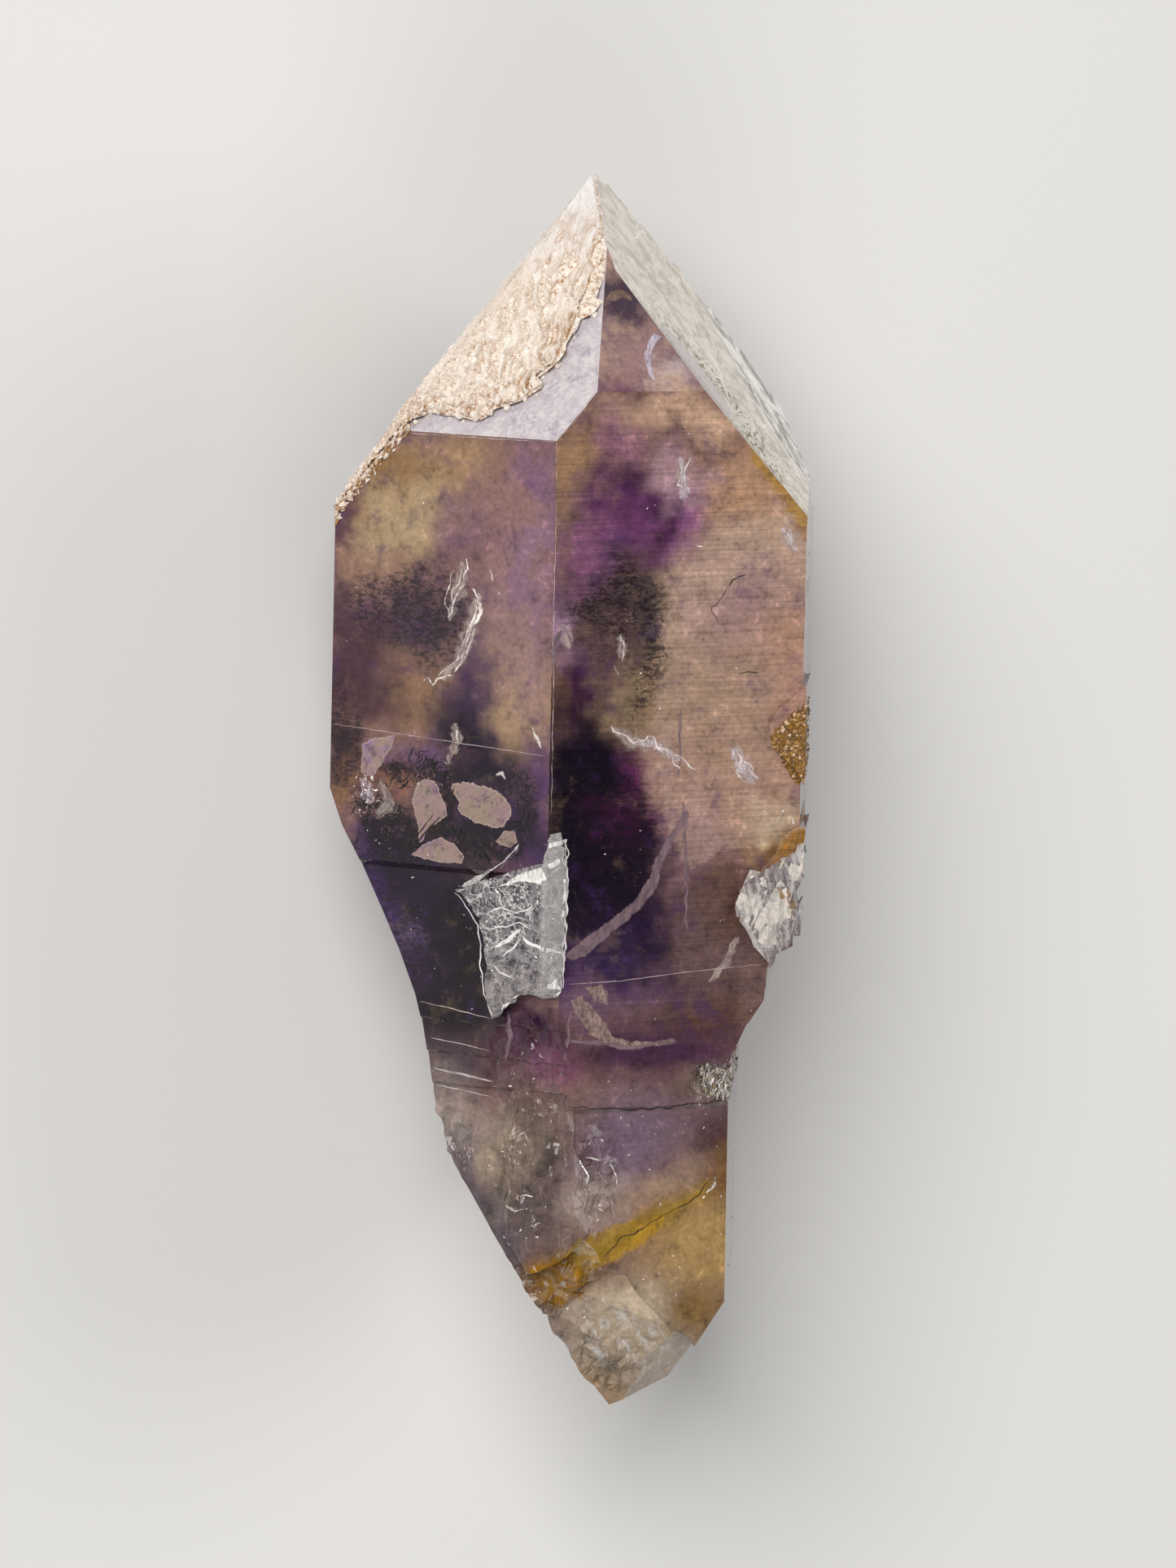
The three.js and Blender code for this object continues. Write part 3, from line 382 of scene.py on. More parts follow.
# Where painted glints are scattered over the faces
GLINTS = [
    # middle, half width and height, lean, how many, least and greatest size in mm
    ((-8.23, 48.75), (6.4, 11.0), 0, 70, 0.05, 0.22),
    ((7.01, 49.61), (7.4, 12.0), 0, 90, 0.05, 0.22),
    ((4.92, 31.57), (8.0, 10.0), 0, 70, 0.05, 0.25),
    ((-12.65, 38.19), (0.9, 1.7), -14, 120, 0.08, 0.32),
    ((-11.68, 35.36), (4.0, 3.0), 0, 40, 0.06, 0.3),
    ((-8.00, 27.54), (3.4, 4.0), 0, 30, 0.04, 0.16),
    ((-6.61, 21.63), (2.6, 3.6), 0, 40, 0.06, 0.3),
    ((-4.73, 15.53), (2.0, 4.6), 22, 30, 0.05, 0.3),
    ((-2.01, 17.46), (2.2, 6.8), 0, 90, 0.05, 0.35),
    ((2.24, 17.57), (2.4, 4.4), 0, 50, 0.06, 0.35),
    ((7.22, 17.92), (4.0, 3.4), 0, 50, 0.06, 0.35),
    ((3.51, 5.05), (4.6, 3.6), -20, 110, 0.06, 0.4),
    ((0.73, 6.49), (0.9, 1.6), 30, 50, 0.10, 0.5),
    ((7.88, 10.79), (3.4, 4.4), -20, 50, 0.06, 0.35),
    ((9.25, 21.08), (1.4, 1.1), 0, 40, 0.10, 0.4),
    ((11.92, 31.36), (1.9, 4.4), -14, 50, 0.08, 0.4),
    ((-3.56, 30.51), (3.0, 4.4), 0, 130, 0.06, 0.4),
    ((13.54, 36.84), (1.0, 1.8), -14, 30, 0.1, 0.5),
    ((9.15, 64.86), (8.0, 1.6), -52, 90, 0.06, 0.35),
]
SMOKE = [((-9.29, 29.43), 4.6, 5.6, 10), ((-10.26, 50.08), 5.0, 2.6, 8), ((-8.21, 48.00), 1.8, 2.2, 0), ((2.90, 50.34), 3.2, 2.2, 0), ((4.16, 47.69), 1.2, 4.2, 0), ((-14.31, 40.91), 1.6, 5.0, 0), ((1.33, 35.71), 4.0, 7.0, 0)]
CHIPPED = [((-2.26, 17.44), 2.6, 7.6, 0), ((-6.77, 17.49), 1.2, 3.0, 20), ((2.29, 3.76), 3.0, 2.0, -30), ((0.66, 9.51), 1.7, 1.5, 0), ((-1.29, 6.95), 1.6, 3.6, 30), ((9.25, 21.08), 1.9, 1.4, 0), ((2.03, 15.57), 1.4, 4.0, 0)]
# Painted highlights: pale strips along the main edges that stand in for the light along them, each a width in mm and
# the points it runs through
PAINTED_EDGE_HIGHLIGHTS = [
    (0.08, [(-1.47, 60.33), (-1.43, 55.91), (-1.44, 49.88), (-1.35, 43.85), (-1.32, 37.82)]),
    (0.09, [(-10.74, 60.26), (-5.73, 60.26), (-1.52, 60.33)]),
    (0.07, [(-1.53, 60.38), (-0.26, 61.77), (0.85, 63.41)]),
]


def srgb(code, alpha=1.0):
    """An sRGB hex colour as Blender's linear one."""
    parts = [int(code[i : i + 2], 16) / 255 for i in (1, 3, 5)]
    return [p / 12.92 if p <= 0.04045 else ((p + 0.055) / 1.055) ** 2.4 for p in parts] + [alpha]


def colour(name, default, description):
    return bpy.props.FloatVectorProperty(
        name=name, description=description, subtype="COLOR", size=3, min=0, max=1, default=srgb(default)[:3]
    )


def length(name, default, description):
    return bpy.props.FloatProperty(
        name=name, description=description, subtype="DISTANCE", unit="LENGTH", min=0, default=default, precision=5
    )


class CrystalColours(bpy.types.PropertyGroup):
    left: colour("Left quartz", "#7C5B5A", "Quartz behind the front left face, between its zones")
    right: colour("Right quartz", "#80625A", "Quartz behind the front right face, between its zones")
    back: colour("Back quartz", "#77596A", "Quartz round the back")
    frost: colour("Frosted face", "#DFD6CB", "The etched face on the right of the point")
    # Painted reflection: the lilac white of the bare strip below the crust
    strip: colour("Lilac strip", "#C2B8BD", "The bare strip below the crust")
    crust: colour("Crust", "#EFE3D6", "Tiny quartz crystals on the left of the point")
    # Painted shade in the crust's hollows, together with the iron stain between its crystals
    crust_shade: colour("Crust in its hollows", "#A67C50", "Iron stain between the crust's crystals")
    iron: colour("Iron stain", "#8A5F1E", "Brown crust along the right edge")
    floor: colour("Floor", "#D2D0CC", "The floor under the crystal")


class CrystalSizes(bpy.types.PropertyGroup):
    cell: length("Crust cell", 0.0001, "Spacing of the points that the crust's surface is made of")
    grain: length("Crust grain", 0.00030, "Width of one of the crust's tiny crystals")
    relief: length("Crust relief", 0.00034, "How far the crust stands in and out")
    bead: length("Bead", 0.00035, "Radius of the largest beads along the crust's ragged edge")
    floor: length("Floor", 3.0, "Width of the floor")


def add(tree, kind, settings=None, inputs=None):
    """Adds a node with its settings, and each of its inputs as a value or as a link from a socket."""
    new = tree.nodes.new("ShaderNode" + kind)
    for name, value in (settings or {}).items():
        setattr(new, name, value)
    for key, value in (inputs or {}).items():
        if isinstance(value, bpy.types.NodeSocket):
            tree.links.new(value, new.inputs[key])
        else:
            new.inputs[key].default_value = value
    return new


def blank(name):
    """An empty material, its tree and its output."""
    material = bpy.data.materials.new(name)
    material.use_nodes = True
    material.node_tree.nodes.clear()
    return material, material.node_tree, add(material.node_tree, "OutputMaterial")


def blended(tree, factor, first, second, mode="MIX"):
    """Colour first, with second laid over it by factor."""
    inputs = {0: factor, 6: first, 7: second}
    return add(tree, "Mix", {"data_type": "RGBA", "blend_type": mode}, inputs).outputs[2]


def sums(tree, operation, first, second=0.5, third=0.5, clamp=False):
    inputs = {0: first, 1: second, 2: third}
    return add(tree, "Math", {"operation": operation, "use_clamp": clamp}, inputs).outputs[0]


def ranged(tree, value, low, high, to_low=0.0, to_high=1.0, smooth=True):
    """value from low to high, brought to to_low to to_high."""
    settings = {"interpolation_type": "SMOOTHSTEP" if smooth else "LINEAR"}
    inputs = {0: value, 1: low, 2: high, 3: to_low, 4: to_high}
    return add(tree, "MapRange", settings, inputs).outputs[0]


def growth_space(tree):
    """Where a point is in the growing crystal, in mm."""
    place = add(tree, "TexCoord").outputs["Object"]
    back = -(TURN.inverted() @ SHIFT)
    inputs = {0: place, 1: back, 2: (0, math.radians(27), 0), 3: (1000, 1000, 1000)}
    return add(tree, "Mapping", {"vector_type": "POINT"}, inputs).outputs[0]


def patch(tree, space, middle, half, lean=0.0, depth=1000.0, z=0.0, hard=0.0):
    """1 in the middle of an ellipse seen from the front, falling to 0 at its edge."""
    inputs = {0: space, 1: (*middle, z), 2: (0, 0, math.radians(lean)), 3: (*half, depth)}
    put = add(tree, "Mapping", {"vector_type": "TEXTURE"}, inputs).outputs[0]
    round_ = add(tree, "TexGradient", {"gradient_type": "SPHERICAL"}, {0: put}).outputs[1]
    return ranged(tree, round_, 0.0, 1.0 - hard)


def speckle(tree, space, scale, detail=4.0, roughness=0.6, distortion=0.0, stretch=(1, 1, 1), lean=0.0):
    """Noise of so many lumps to the mm, stretched and leaned in the plane of the front."""
    if stretch != (1, 1, 1) or lean:
        turn = (0, 0, math.radians(lean))
        space = add(tree, "Mapping", {"vector_type": "POINT"}, {0: space, 2: turn}).outputs[0]
        space = add(tree, "Mapping", {"vector_type": "POINT"}, {0: space, 3: stretch}).outputs[0]
    inputs = {"Vector": space, "Scale": scale, "Detail": detail, "Roughness": roughness, "Distortion": distortion}
    return add(tree, "TexNoise", {"noise_dimensions": "3D"}, inputs)


def kind_of(tree, name):
    """How far a facet is of the named kind."""
    return add(tree, "Attribute", {"attribute_name": name}).outputs["Fac"]


def quartz(colours):
    """Amethyst and smoky quartz, grown from solution: glassy and see-through, with its colour laid down in
    zones and dimmed by veils of tiny cavities. The prism faces keep fine growth lines across the axis, the
    right of the head is etched to a white frost, and the foot is broken to shell-like, clear facets."""
    material, tree, output = blank("amethyst_grown_quartz")
    space = growth_space(tree)
    # The zones' edges wander by about 1 mm; the clear window's own patches follow the same wandering
    slow = speckle(tree, space, 0.5, 3.0, 0.65).outputs["Color"]
    wander = add(tree, "VectorMath", {"operation": "MULTIPLY_ADD"}, {0: slow, 1: (4, 4, 0), 2: (-2, -2, 0)})
    moved = add(tree, "VectorMath", {"operation": "ADD"}, {0: space, 1: wander.outputs[0]}).outputs[0]
    axes = add(tree, "SeparateXYZ", None, {0: space})
    x, y = axes.outputs[0], axes.outputs[1]
    edge = ranged(tree, y, 24, 60, FRONT_EDGE + 0.08, FRONT_EDGE - 0.06, False)
    on_right = ranged(tree, sums(tree, "SUBTRACT", x, edge), -0.03, 0.03)
    base = add(tree, "Attribute", {"attribute_name": "zones"}).outputs["Color"]
    # Veils of cavities: a grain of about 0.3 mm, and sparser dark and pale flecks
    grain = speckle(tree, space, 3.2, 2.5, 0.75).outputs["Fac"]
    base = blended(tree, 1.0, base, ranged(tree, grain, 0.28, 0.72, 0.92, 1.2, False), "MULTIPLY")
    veil = speckle(tree, space, 0.8, 4.0, 0.75, 0.15).outputs["Fac"]
    base = blended(tree, 1.0, base, ranged(tree, veil, 0.3, 0.7, 0.76, 1.24, False), "MULTIPLY")
    lit = blended(tree, 1.0, base, (2.3, 2.1, 2.1, 1), "MULTIPLY")
    base = blended(tree, ranged(tree, veil, 0.58, 0.74, 0.0, 0.30), base, lit)
    base = blended(tree, ranged(tree, veil, 0.43, 0.30, 0.0, 0.26), base, srgb("#2E1E28"))
    # Wisps of deeper violet and of tan, a millimetre or two across
    cloud = speckle(tree, space, 0.42, 4.0, 0.72, 0.2).outputs["Fac"]
    upper = ranged(tree, y, 20, 26, 0.3, 1.0)
    base = blended(tree, sums(tree, "MULTIPLY", ranged(tree, cloud, 0.53, 0.70, 0.0, 0.45), upper), base, srgb("#4C2C62"))
    base = blended(tree, ranged(tree, cloud, 0.45, 0.30, 0.0, 0.18), base, srgb("#A48660"))
    # Smoke: soot-like specks of 0.1 to 0.4 mm in the smoky bands
    soot = speckle(tree, space, 2.4, 3.0, 0.85, 0.0, (0.7, 1.5, 1)).outputs["Fac"]
    smoky = sums(tree, "MULTIPLY", kind_of(tree, "smoke"), ranged(tree, soot, 0.53, 0.44))
    base = blended(tree, sums(tree, "MULTIPLY", smoky, 0.75), base, srgb("#1F1620"))
    # Chipped quartz: shell-like dents, given painted highlights in pale and painted shade in dark
    chipped = kind_of(tree, "chipped")
    shells = speckle(tree, space, 0.55, 3.0, 0.65, 1.4, (1.5, 0.75, 1), 12).outputs["Fac"]
    base = blended(tree, sums(tree, "MULTIPLY", chipped, ranged(tree, shells, 0.52, 0.68, 0, 0.4)), base, blended(tree, 1.0, base, (2.2, 2.1, 2.2, 1), "MULTIPLY"))
    base = blended(tree, sums(tree, "MULTIPLY", chipped, ranged(tree, shells, 0.46, 0.34, 0, 0.5)), base, srgb("#4C3E3E"))
    # Growth lines across the front right face, about 6 to the mm
    lines = speckle(tree, space, 1.0, 3.0, 0.7, 0.0, (0.12, 5.5, 0.12), -1.0).outputs["Fac"]
    lined = sums(tree, "MULTIPLY", on_right, ranged(tree, y, 20, 26))
    streak = ranged(tree, lines, 0.3, 0.7, 0.75, 1.25, False)
    base = blended(tree, sums(tree, "MULTIPLY", lined, 0.8), base, blended(tree, 1.0, base, streak, "MULTIPLY"))
    # Dark threads like moss, about 0.1 mm thick, round the flat flakes
    threads = speckle(tree, space, 1.9, 4.0, 0.8, 0.9).outputs["Fac"]
    ridge = sums(tree, "ABSOLUTE", sums(tree, "SUBTRACT", threads, 0.5))
    moss = kind_of(tree, "moss")
    clots = ranged(tree, threads, 0.62, 0.44, 0.25, 0.92)
    base = blended(tree, sums(tree, "MULTIPLY", moss, clots), base, srgb("#190E1F"))
    mossy = sums(tree, "MULTIPLY", moss, ranged(tree, ridge, 0.05, 0.015, 0.0, 0.9))
    base = blended(tree, mossy, base, srgb("#0E090C"))
    # The facets that differ from the prism's
    frost, strip, window = kind_of(tree, "frosted"), kind_of(tree, "strip"), kind_of(tree, "window")
    crust, plate, broken = kind_of(tree, "crusted"), kind_of(tree, "plate"), kind_of(tree, "broken")
    iron, shard = kind_of(tree, "iron"), kind_of(tree, "shard")
    # the clear window beside the crust: dark violet at its top, then an amber streak and a pale veil
    pane = blended(tree, ranged(tree, cloud, 0.4, 0.6), srgb("#96787A"), srgb("#BC9A8A"))
    for middle, half, lean, code, amount in (
        ((2.47, 68.76), (3.2, 2.3), -10, "#564450", 1.0),
        ((3.41, 64.91), (2.6, 2.4), 0, "#A98682", 0.9),
        ((5.43, 64.16), (2.0, 2.2), -40, "#D2BAB8", 0.9),
        ((6.72, 62.52), (4.6, 1.3), -40, "#CDAA8E", 0.9),
        ((2.22, 62.87), (2.4, 2.4), 0, "#7E5668", 0.9),
        ((8.51, 60.86), (1.6, 1.0), -40, "#A88A60", 0.9),
    ):
        here = sums(tree, "MULTIPLY", patch(tree, moved, middle, half, lean), amount * 1.2, clamp=True)
        pane = blended(tree, here, pane, srgb(code))
    pane = blended(tree, 1.0, pane, ranged(tree, grain, 0.25, 0.75, 0.75, 1.25, False), "MULTIPLY")
    base = blended(tree, window, base, pane)
    # the frost: short grey strokes along the outer edge and greenish specks by the window
    strokes = speckle(tree, space, 1.0, 3.0, 0.75, 0.5, (0.5, 4.2, 0.25), 55.4).outputs["Fac"]
    chips = speckle(tree, space, 0.8, 4.0, 0.75, 1.2).outputs["Fac"]
    haze = speckle(tree, space, 1.2, 3.5, 0.8, 0.4, (0.6, 1.9, 1), 53).outputs["Fac"]
    frosty = blended(tree, ranged(tree, haze, 0.36, 0.6, 0.25, 1.0), srgb("#B2AA9E"), (*colours.frost, 1))
    frosty = blended(tree, ranged(tree, chips, 0.42, 0.28, 0.0, 0.4), frosty, srgb("#A5A296"))
    frosty = blended(tree, ranged(tree, chips, 0.58, 0.70, 0.0, 0.7), frosty, srgb("#F3F0EC"))
    outer = ranged(tree, patch(tree, space, (10.78, 63.31), (11.0, 1.0), -59), 0.0, 0.4)
    frosty = blended(tree, outer, frosty, blended(tree, ranged(tree, strokes, 0.36, 0.62), srgb("#9A958F"), srgb("#EAE5E0")))
    border = patch(tree, space, (8.21, 62.35), (10.5, 1.7), -50.5)
    specked = sums(tree, "MULTIPLY", ranged(tree, border, 0.0, 0.6), ranged(tree, grain, 0.47, 0.38))
    frosty = blended(tree, specked, frosty, srgb("#77755C"))
    bevel = ranged(tree, patch(tree, space, (7.12, 64.12), (4.8, 0.36), -51.5), 0.1, 0.25, 0.0, 0.85)
    frosty = blended(tree, bevel, frosty, srgb("#C8BEBE"))
    base = blended(tree, frost, base, frosty)
    # the bare strip: a painted reflection in lilac white, with faint diagonal scratches of its own
    scratch = speckle(tree, space, 1.0, 3.0, 0.7, 0.6, (0.35, 3.2, 1), -38).outputs["Fac"]
    flecks = speckle(tree, space, 1.7, 3.5, 0.75, 0.8).outputs["Fac"]
    strip_reflection_and_scratches = blended(tree, ranged(tree, flecks, 0.42, 0.62, 0, 0.7), (*colours.strip, 1), srgb("#DED5D2"))
    strip_reflection_and_scratches = blended(tree, ranged(tree, veil, 0.48, 0.34, 0, 0.7), strip_reflection_and_scratches, srgb("#A1959F"))
    strip_reflection_and_scratches = blended(tree, ranged(tree, scratch, 0.40, 0.30, 0, 0.35), strip_reflection_and_scratches, srgb("#8E7F86"))
    base = blended(tree, strip, base, strip_reflection_and_scratches)
    # the plate: clear over the dark behind it, with a net of fine cracks and a paler strip by the edge
    net = speckle(tree, space, 0.8, 2.0, 0.6, 0.9).outputs["Fac"]
    vein = sums(tree, "ABSOLUTE", sums(tree, "SUBTRACT", net, 0.5))
    crackle = add(tree, "TexVoronoi", {"feature": "DISTANCE_TO_EDGE"}, {"Vector": moved, "Scale": 0.8})
    vein = sums(tree, "MINIMUM", vein, sums(tree, "MULTIPLY", crackle.outputs["Distance"], 0.35))
    platy = blended(tree, ranged(tree, flecks, 0.35, 0.62), srgb("#3E3740"), srgb("#968F90"))
    by_edge = ranged(tree, x, -2.0, -1.7, 0.0, 0.5)
    platy = blended(tree, by_edge, platy, srgb("#C9C4C0"))
    lower = ranged(tree, y, 29.5, 27.0, 0.0, 0.5)
    platy = blended(tree, lower, platy, blended(tree, ranged(tree, flecks, 0.4, 0.6), srgb("#7D7577"), srgb("#A9A09A")))
    netted = ranged(tree, patch(tree, space, (-4.49, 32.03), (3.6, 4.4), -30), 0.0, 0.6, 0.35, 0.9)
    platy = blended(tree, sums(tree, "MULTIPLY", ranged(tree, vein, 0.016, 0.003), netted), platy, srgb("#EDE8E4"))
    base = blended(tree, plate, base, platy)
    # soft white fans inside the clear tip
    fans = speckle(tree, space, 0.9, 3.0, 0.75, 0.3, (1.9, 0.5, 1), -24).outputs["Fac"]
    at_tip = ranged(tree, patch(tree, space, (3.76, 4.95), (4.6, 3.4), -30), 0.0, 0.6)
    base = blended(tree, sums(tree, "MULTIPLY", at_tip, ranged(tree, fans, 0.48, 0.70, 0.0, 0.8)), base, srgb("#EDE7E2"))
    # broken quartz, paler than the zones behind it
    pale = blended(tree, ranged(tree, chips, 0.42, 0.66), base, srgb("#C9BCAE"))
    base = blended(tree, sums(tree, "MULTIPLY", broken, 0.25), base, pale)
    # iron and shards at the right edge
    rusty = blended(tree, ranged(tree, grain, 0.35, 0.62), srgb("#5A3E1C"), (*colours.iron, 1))
    base = blended(tree, iron, base, rusty)
    splinters = speckle(tree, space, 1.0, 3.0, 0.7, 0.5, (2.6, 0.6, 1), -14).outputs["Fac"]
    shardy = blended(tree, ranged(tree, splinters, 0.40, 0.64), srgb("#85787A"), srgb("#D8D0CA"))
    shardy = blended(tree, ranged(tree, chips, 0.62, 0.72, 0, 0.6), shardy, srgb("#A8834C"))
    base = blended(tree, shard, base, shardy)
    crusty = blended(tree, ranged(tree, grain, 0.3, 0.6), (*colours.crust_shade, 1), (*colours.crust, 1))
    base = blended(tree, crust, base, crusty)

    rough = sums(tree, "MAXIMUM", crust, frost)
    dull = sums(tree, "MAXIMUM", iron, rough)
    clear = sums(tree, "SUBTRACT", 0.34, sums(tree, "MULTIPLY", dull, 0.28))
    clear = sums(tree, "SUBTRACT", clear, sums(tree, "MULTIPLY", strip, 0.2))
    clear = sums(tree, "ADD", clear, sums(tree, "MULTIPLY", sums(tree, "MAXIMUM", plate, shard), 0.05))
    clear = sums(tree, "ADD", clear, sums(tree, "MULTIPLY", chipped, 0.16))
    roughness = sums(tree, "ADD", 0.06, sums(tree, "MULTIPLY", dull, 0.42))
    roughness = sums(tree, "ADD", roughness, sums(tree, "MULTIPLY", strip, 0.16))
    roughness = sums(tree, "ADD", roughness, sums(tree, "MULTIPLY", broken, 0.06))
    height = sums(tree, "MULTIPLY", lines, sums(tree, "ADD", sums(tree, "MULTIPLY", lined, 0.9), 0.1))
    height = sums(tree, "ADD", height, sums(tree, "MULTIPLY", shells, sums(tree, "ADD", sums(tree, "MULTIPLY", chipped, 5.0), broken)))
    height = sums(tree, "ADD", height, sums(tree, "MULTIPLY", sums(tree, "MULTIPLY", grain, dull), 1.5))
    bump = add(tree, "Bump", None, {"Strength": 0.6, "Distance": 0.00006, "Height": height}).outputs[0]
    shader = add(
        tree,
        "BsdfPrincipled",
        None,
        {
            "Base Color": base,
            "Roughness": roughness,
            "IOR": 1.544,
            "Specular IOR Level": 0.15,
            "Transmission Weight": clear,
            "Normal": bump,
        },
    )
    # Smoky violet quartz takes up a fifth to a third of the light over 25 mm
    inside = add(tree, "VolumeAbsorption", None, {"Color": srgb("#D9CBDD"), "Density": 30.0})
    tree.links.new(shader.outputs[0], output.inputs["Surface"])
    tree.links.new(inside.outputs[0], output.inputs["Volume"])
    return material


def druse(colours):
    """Druse: a crust of quartz crystals a few tenths of a millimetre across, which sparkles, carries painted shade in
    its hollows and turns beige where iron has settled between them."""
    material, tree, output = blank("quartz_druse")
    space = growth_space(tree)
    lumps = speckle(tree, space, 2.0, 4.0, 0.7, 0.3, (1.9, 0.42, 1), 13).outputs["Fac"]
    broad = speckle(tree, space, 0.25, 4.0, 0.6).outputs["Fac"]
    height = kind_of(tree, "height")
    axes = add(tree, "SeparateXYZ", None, {0: space})
    stained = sums(tree, "ADD", sums(tree, "MULTIPLY", kind_of(tree, "stain"), 0.7), ranged(tree, broad, 0.4, 0.7, 0, 0.4))
    # Painted shade: the crust's low places are darkened to beige-brown everywhere, and more where iron stains them near
    # its ragged edge
    painted_hollow_shade = ranged(tree, sums(tree, "ADD", height, sums(tree, "MULTIPLY", lumps, 0.5)), 1.0, 0.45)
    amount = sums(tree, "MULTIPLY", painted_hollow_shade, sums(tree, "ADD", stained, 0.34), clamp=True)
    near = sums(tree, "MULTIPLY", ranged(tree, kind_of(tree, "stain"), 0.62, 1.0), ranged(tree, lumps, 0.62, 0.36))
    amount = sums(tree, "ADD", amount, sums(tree, "MULTIPLY", near, 0.55), clamp=True)
    white = ranged(tree, axes.outputs[1], 68.0, 76.0)
    pale = blended(tree, white, (*colours.crust, 1), srgb("#EFECEA"))
    base = blended(tree, amount, pale, (*colours.crust_shade, 1))
    bump = add(tree, "Bump", None, {"Strength": 0.7, "Distance": 0.00006, "Height": lumps}).outputs[0]
    shader = add(
        tree,
        "BsdfPrincipled",
        None,
        {
            "Base Color": base,
            "Roughness": ranged(tree, lumps, 0.35, 0.65, 0.18, 0.5),
            "IOR": 1.544,
            "Transmission Weight": 0.12,
            "Normal": bump,
        },
    )
    tree.links.new(shader.outputs[0], output.inputs["Surface"])
    return material


def cleft(name, code, roughness, fade, most=0.94, strength=1.0, fibre=3.0):
    """A cleft inside quartz, thin as a film, which turns the light back in fibres along its length and frays
    out towards its rim."""
    material, tree, output = blank(name)
    run = add(tree, "Attribute", {"attribute_name": "run"}).outputs["Vector"]
    threads = add(tree, "Mapping", {"vector_type": "POINT"}, {0: run, 3: (fibre, 0.55, 1.0)}).outputs[0]
    frayed = speckle(tree, threads, 1.6, 6.0, 0.8, 0.5).outputs["Fac"]
    bits = speckle(tree, growth_space(tree), 4.0, 4.0, 0.7).outputs["Fac"]
    rim = ranged(tree, kind_of(tree, "inner"), 0.0, max(fade, 0.01))
    kept = sums(tree, "ADD", sums(tree, "MULTIPLY", frayed, 0.75), sums(tree, "MULTIPLY", bits, 0.45))
    kept = ranged(tree, sums(tree, "ADD", sums(tree, "MULTIPLY", rim, 0.35), kept), most - 0.2, most + 0.1, 0.0, strength)
    base = blended(tree, ranged(tree, frayed, 0.38, 0.62), [c * 0.5 for c in srgb(code)[:3]] + [1], srgb(code))
    inputs = {"Base Color": base, "Roughness": roughness, "IOR": 1.544, "Alpha": kept}
    shader = add(tree, "BsdfPrincipled", None, inputs)
    tree.links.new(shader.outputs[0], output.inputs["Surface"])
    return material


def flake():
    """A flat air-filled flake inside quartz: a pale, faintly rainbow mirror with fine straight lines."""
    material, tree, output = blank("flat_flake_in_quartz")
    space = growth_space(tree)
    lines = speckle(tree, space, 1.0, 4.0, 0.7, 0.2, (7.0, 0.6, 1), 55).outputs["Fac"]
    tints = speckle(tree, space, 0.5, 3.0, 0.6, 1.0).outputs["Fac"]
    base = blended(tree, ranged(tree, tints, 0.36, 0.6), srgb("#8F7C6A"), srgb("#937474"))
    base = blended(tree, ranged(tree, tints, 0.54, 0.66, 0, 0.6), base, srgb("#76659A"))
    base = blended(tree, ranged(tree, lines, 0.54, 0.38, 0, 0.3), base, srgb("#65505A"))
    dusty = speckle(tree, space, 1.6, 4.0, 0.75).outputs["Fac"]
    base = blended(tree, ranged(tree, dusty, 0.50, 0.34, 0, 0.75), base, srgb("#50404A"))
    torn = speckle(tree, space, 2.0, 6.0, 0.85, 0.3).outputs["Fac"]
    inner = sums(tree, "SUBTRACT", sums(tree, "MULTIPLY", kind_of(tree, "inner"), 2.0), 0.3)
    kept = sums(tree, "ADD", inner, sums(tree, "MULTIPLY", sums(tree, "SUBTRACT", torn, 0.5), 3.6))
    rim = ranged(tree, kept, 0.8, 0.4, 0.0, 0.7)
    base = blended(tree, rim, base, srgb("#BCA499"))
    inputs = {
        "Base Color": base, "Roughness": 0.18, "IOR": 1.544, "Coat Weight": 0.4,
        "Alpha": ranged(tree, kept, 0.12, 0.42, 0.0, 0.92),
    }
    shader = add(tree, "BsdfPrincipled", None, inputs)
    tree.links.new(shader.outputs[0], output.inputs["Surface"])
    return material


def iron_grain():
    """Limonite, an earthy iron crust: dull ochre to dark brown grains, some with a clear quartz core."""
    material, tree, output = blank("earthy_limonite_crust")
    shade = kind_of(tree, "inner")
    dust = speckle(tree, growth_space(tree), 5.0, 3.0, 0.7).outputs["Fac"]
    base = blended(tree, ranged(tree, shade, 0.1, 0.75), srgb("#5C4020"), srgb("#A67E46"))
    base = blended(tree, ranged(tree, shade, 0.86, 0.9), base, srgb("#C9A98C"))
    base = blended(tree, 1.0, base, ranged(tree, dust, 0.3, 0.7, 0.7, 1.2, False), "MULTIPLY")
    shader = add(tree, "BsdfPrincipled", None, {"Base Color": base, "Roughness": 0.6, "IOR": 1.544})
    tree.links.new(shader.outputs[0], output.inputs["Surface"])
    return material


def grit():
    """Rough clear quartz, broken small: glassy, from smoke through ochre-stained to white."""
    material, tree, output = blank("broken_clear_quartz")
    shade = kind_of(tree, "inner")
    dust = speckle(tree, growth_space(tree), 4.0, 3.0, 0.7).outputs["Fac"]
    base = blended(tree, ranged(tree, shade, 0.1, 0.6), srgb("#6E6460"), srgb("#D9D0C4"))
    base = blended(tree, ranged(tree, shade, 0.86, 0.9), base, srgb("#A08A5E"))
    base = blended(tree, 1.0, base, ranged(tree, dust, 0.3, 0.7, 0.8, 1.2, False), "MULTIPLY")
    inputs = {"Base Color": base, "Roughness": 0.1, "IOR": 1.544, "Transmission Weight": 0.35}
    shader = add(tree, "BsdfPrincipled", None, inputs)
    tree.links.new(shader.outputs[0], output.inputs["Surface"])
    return material


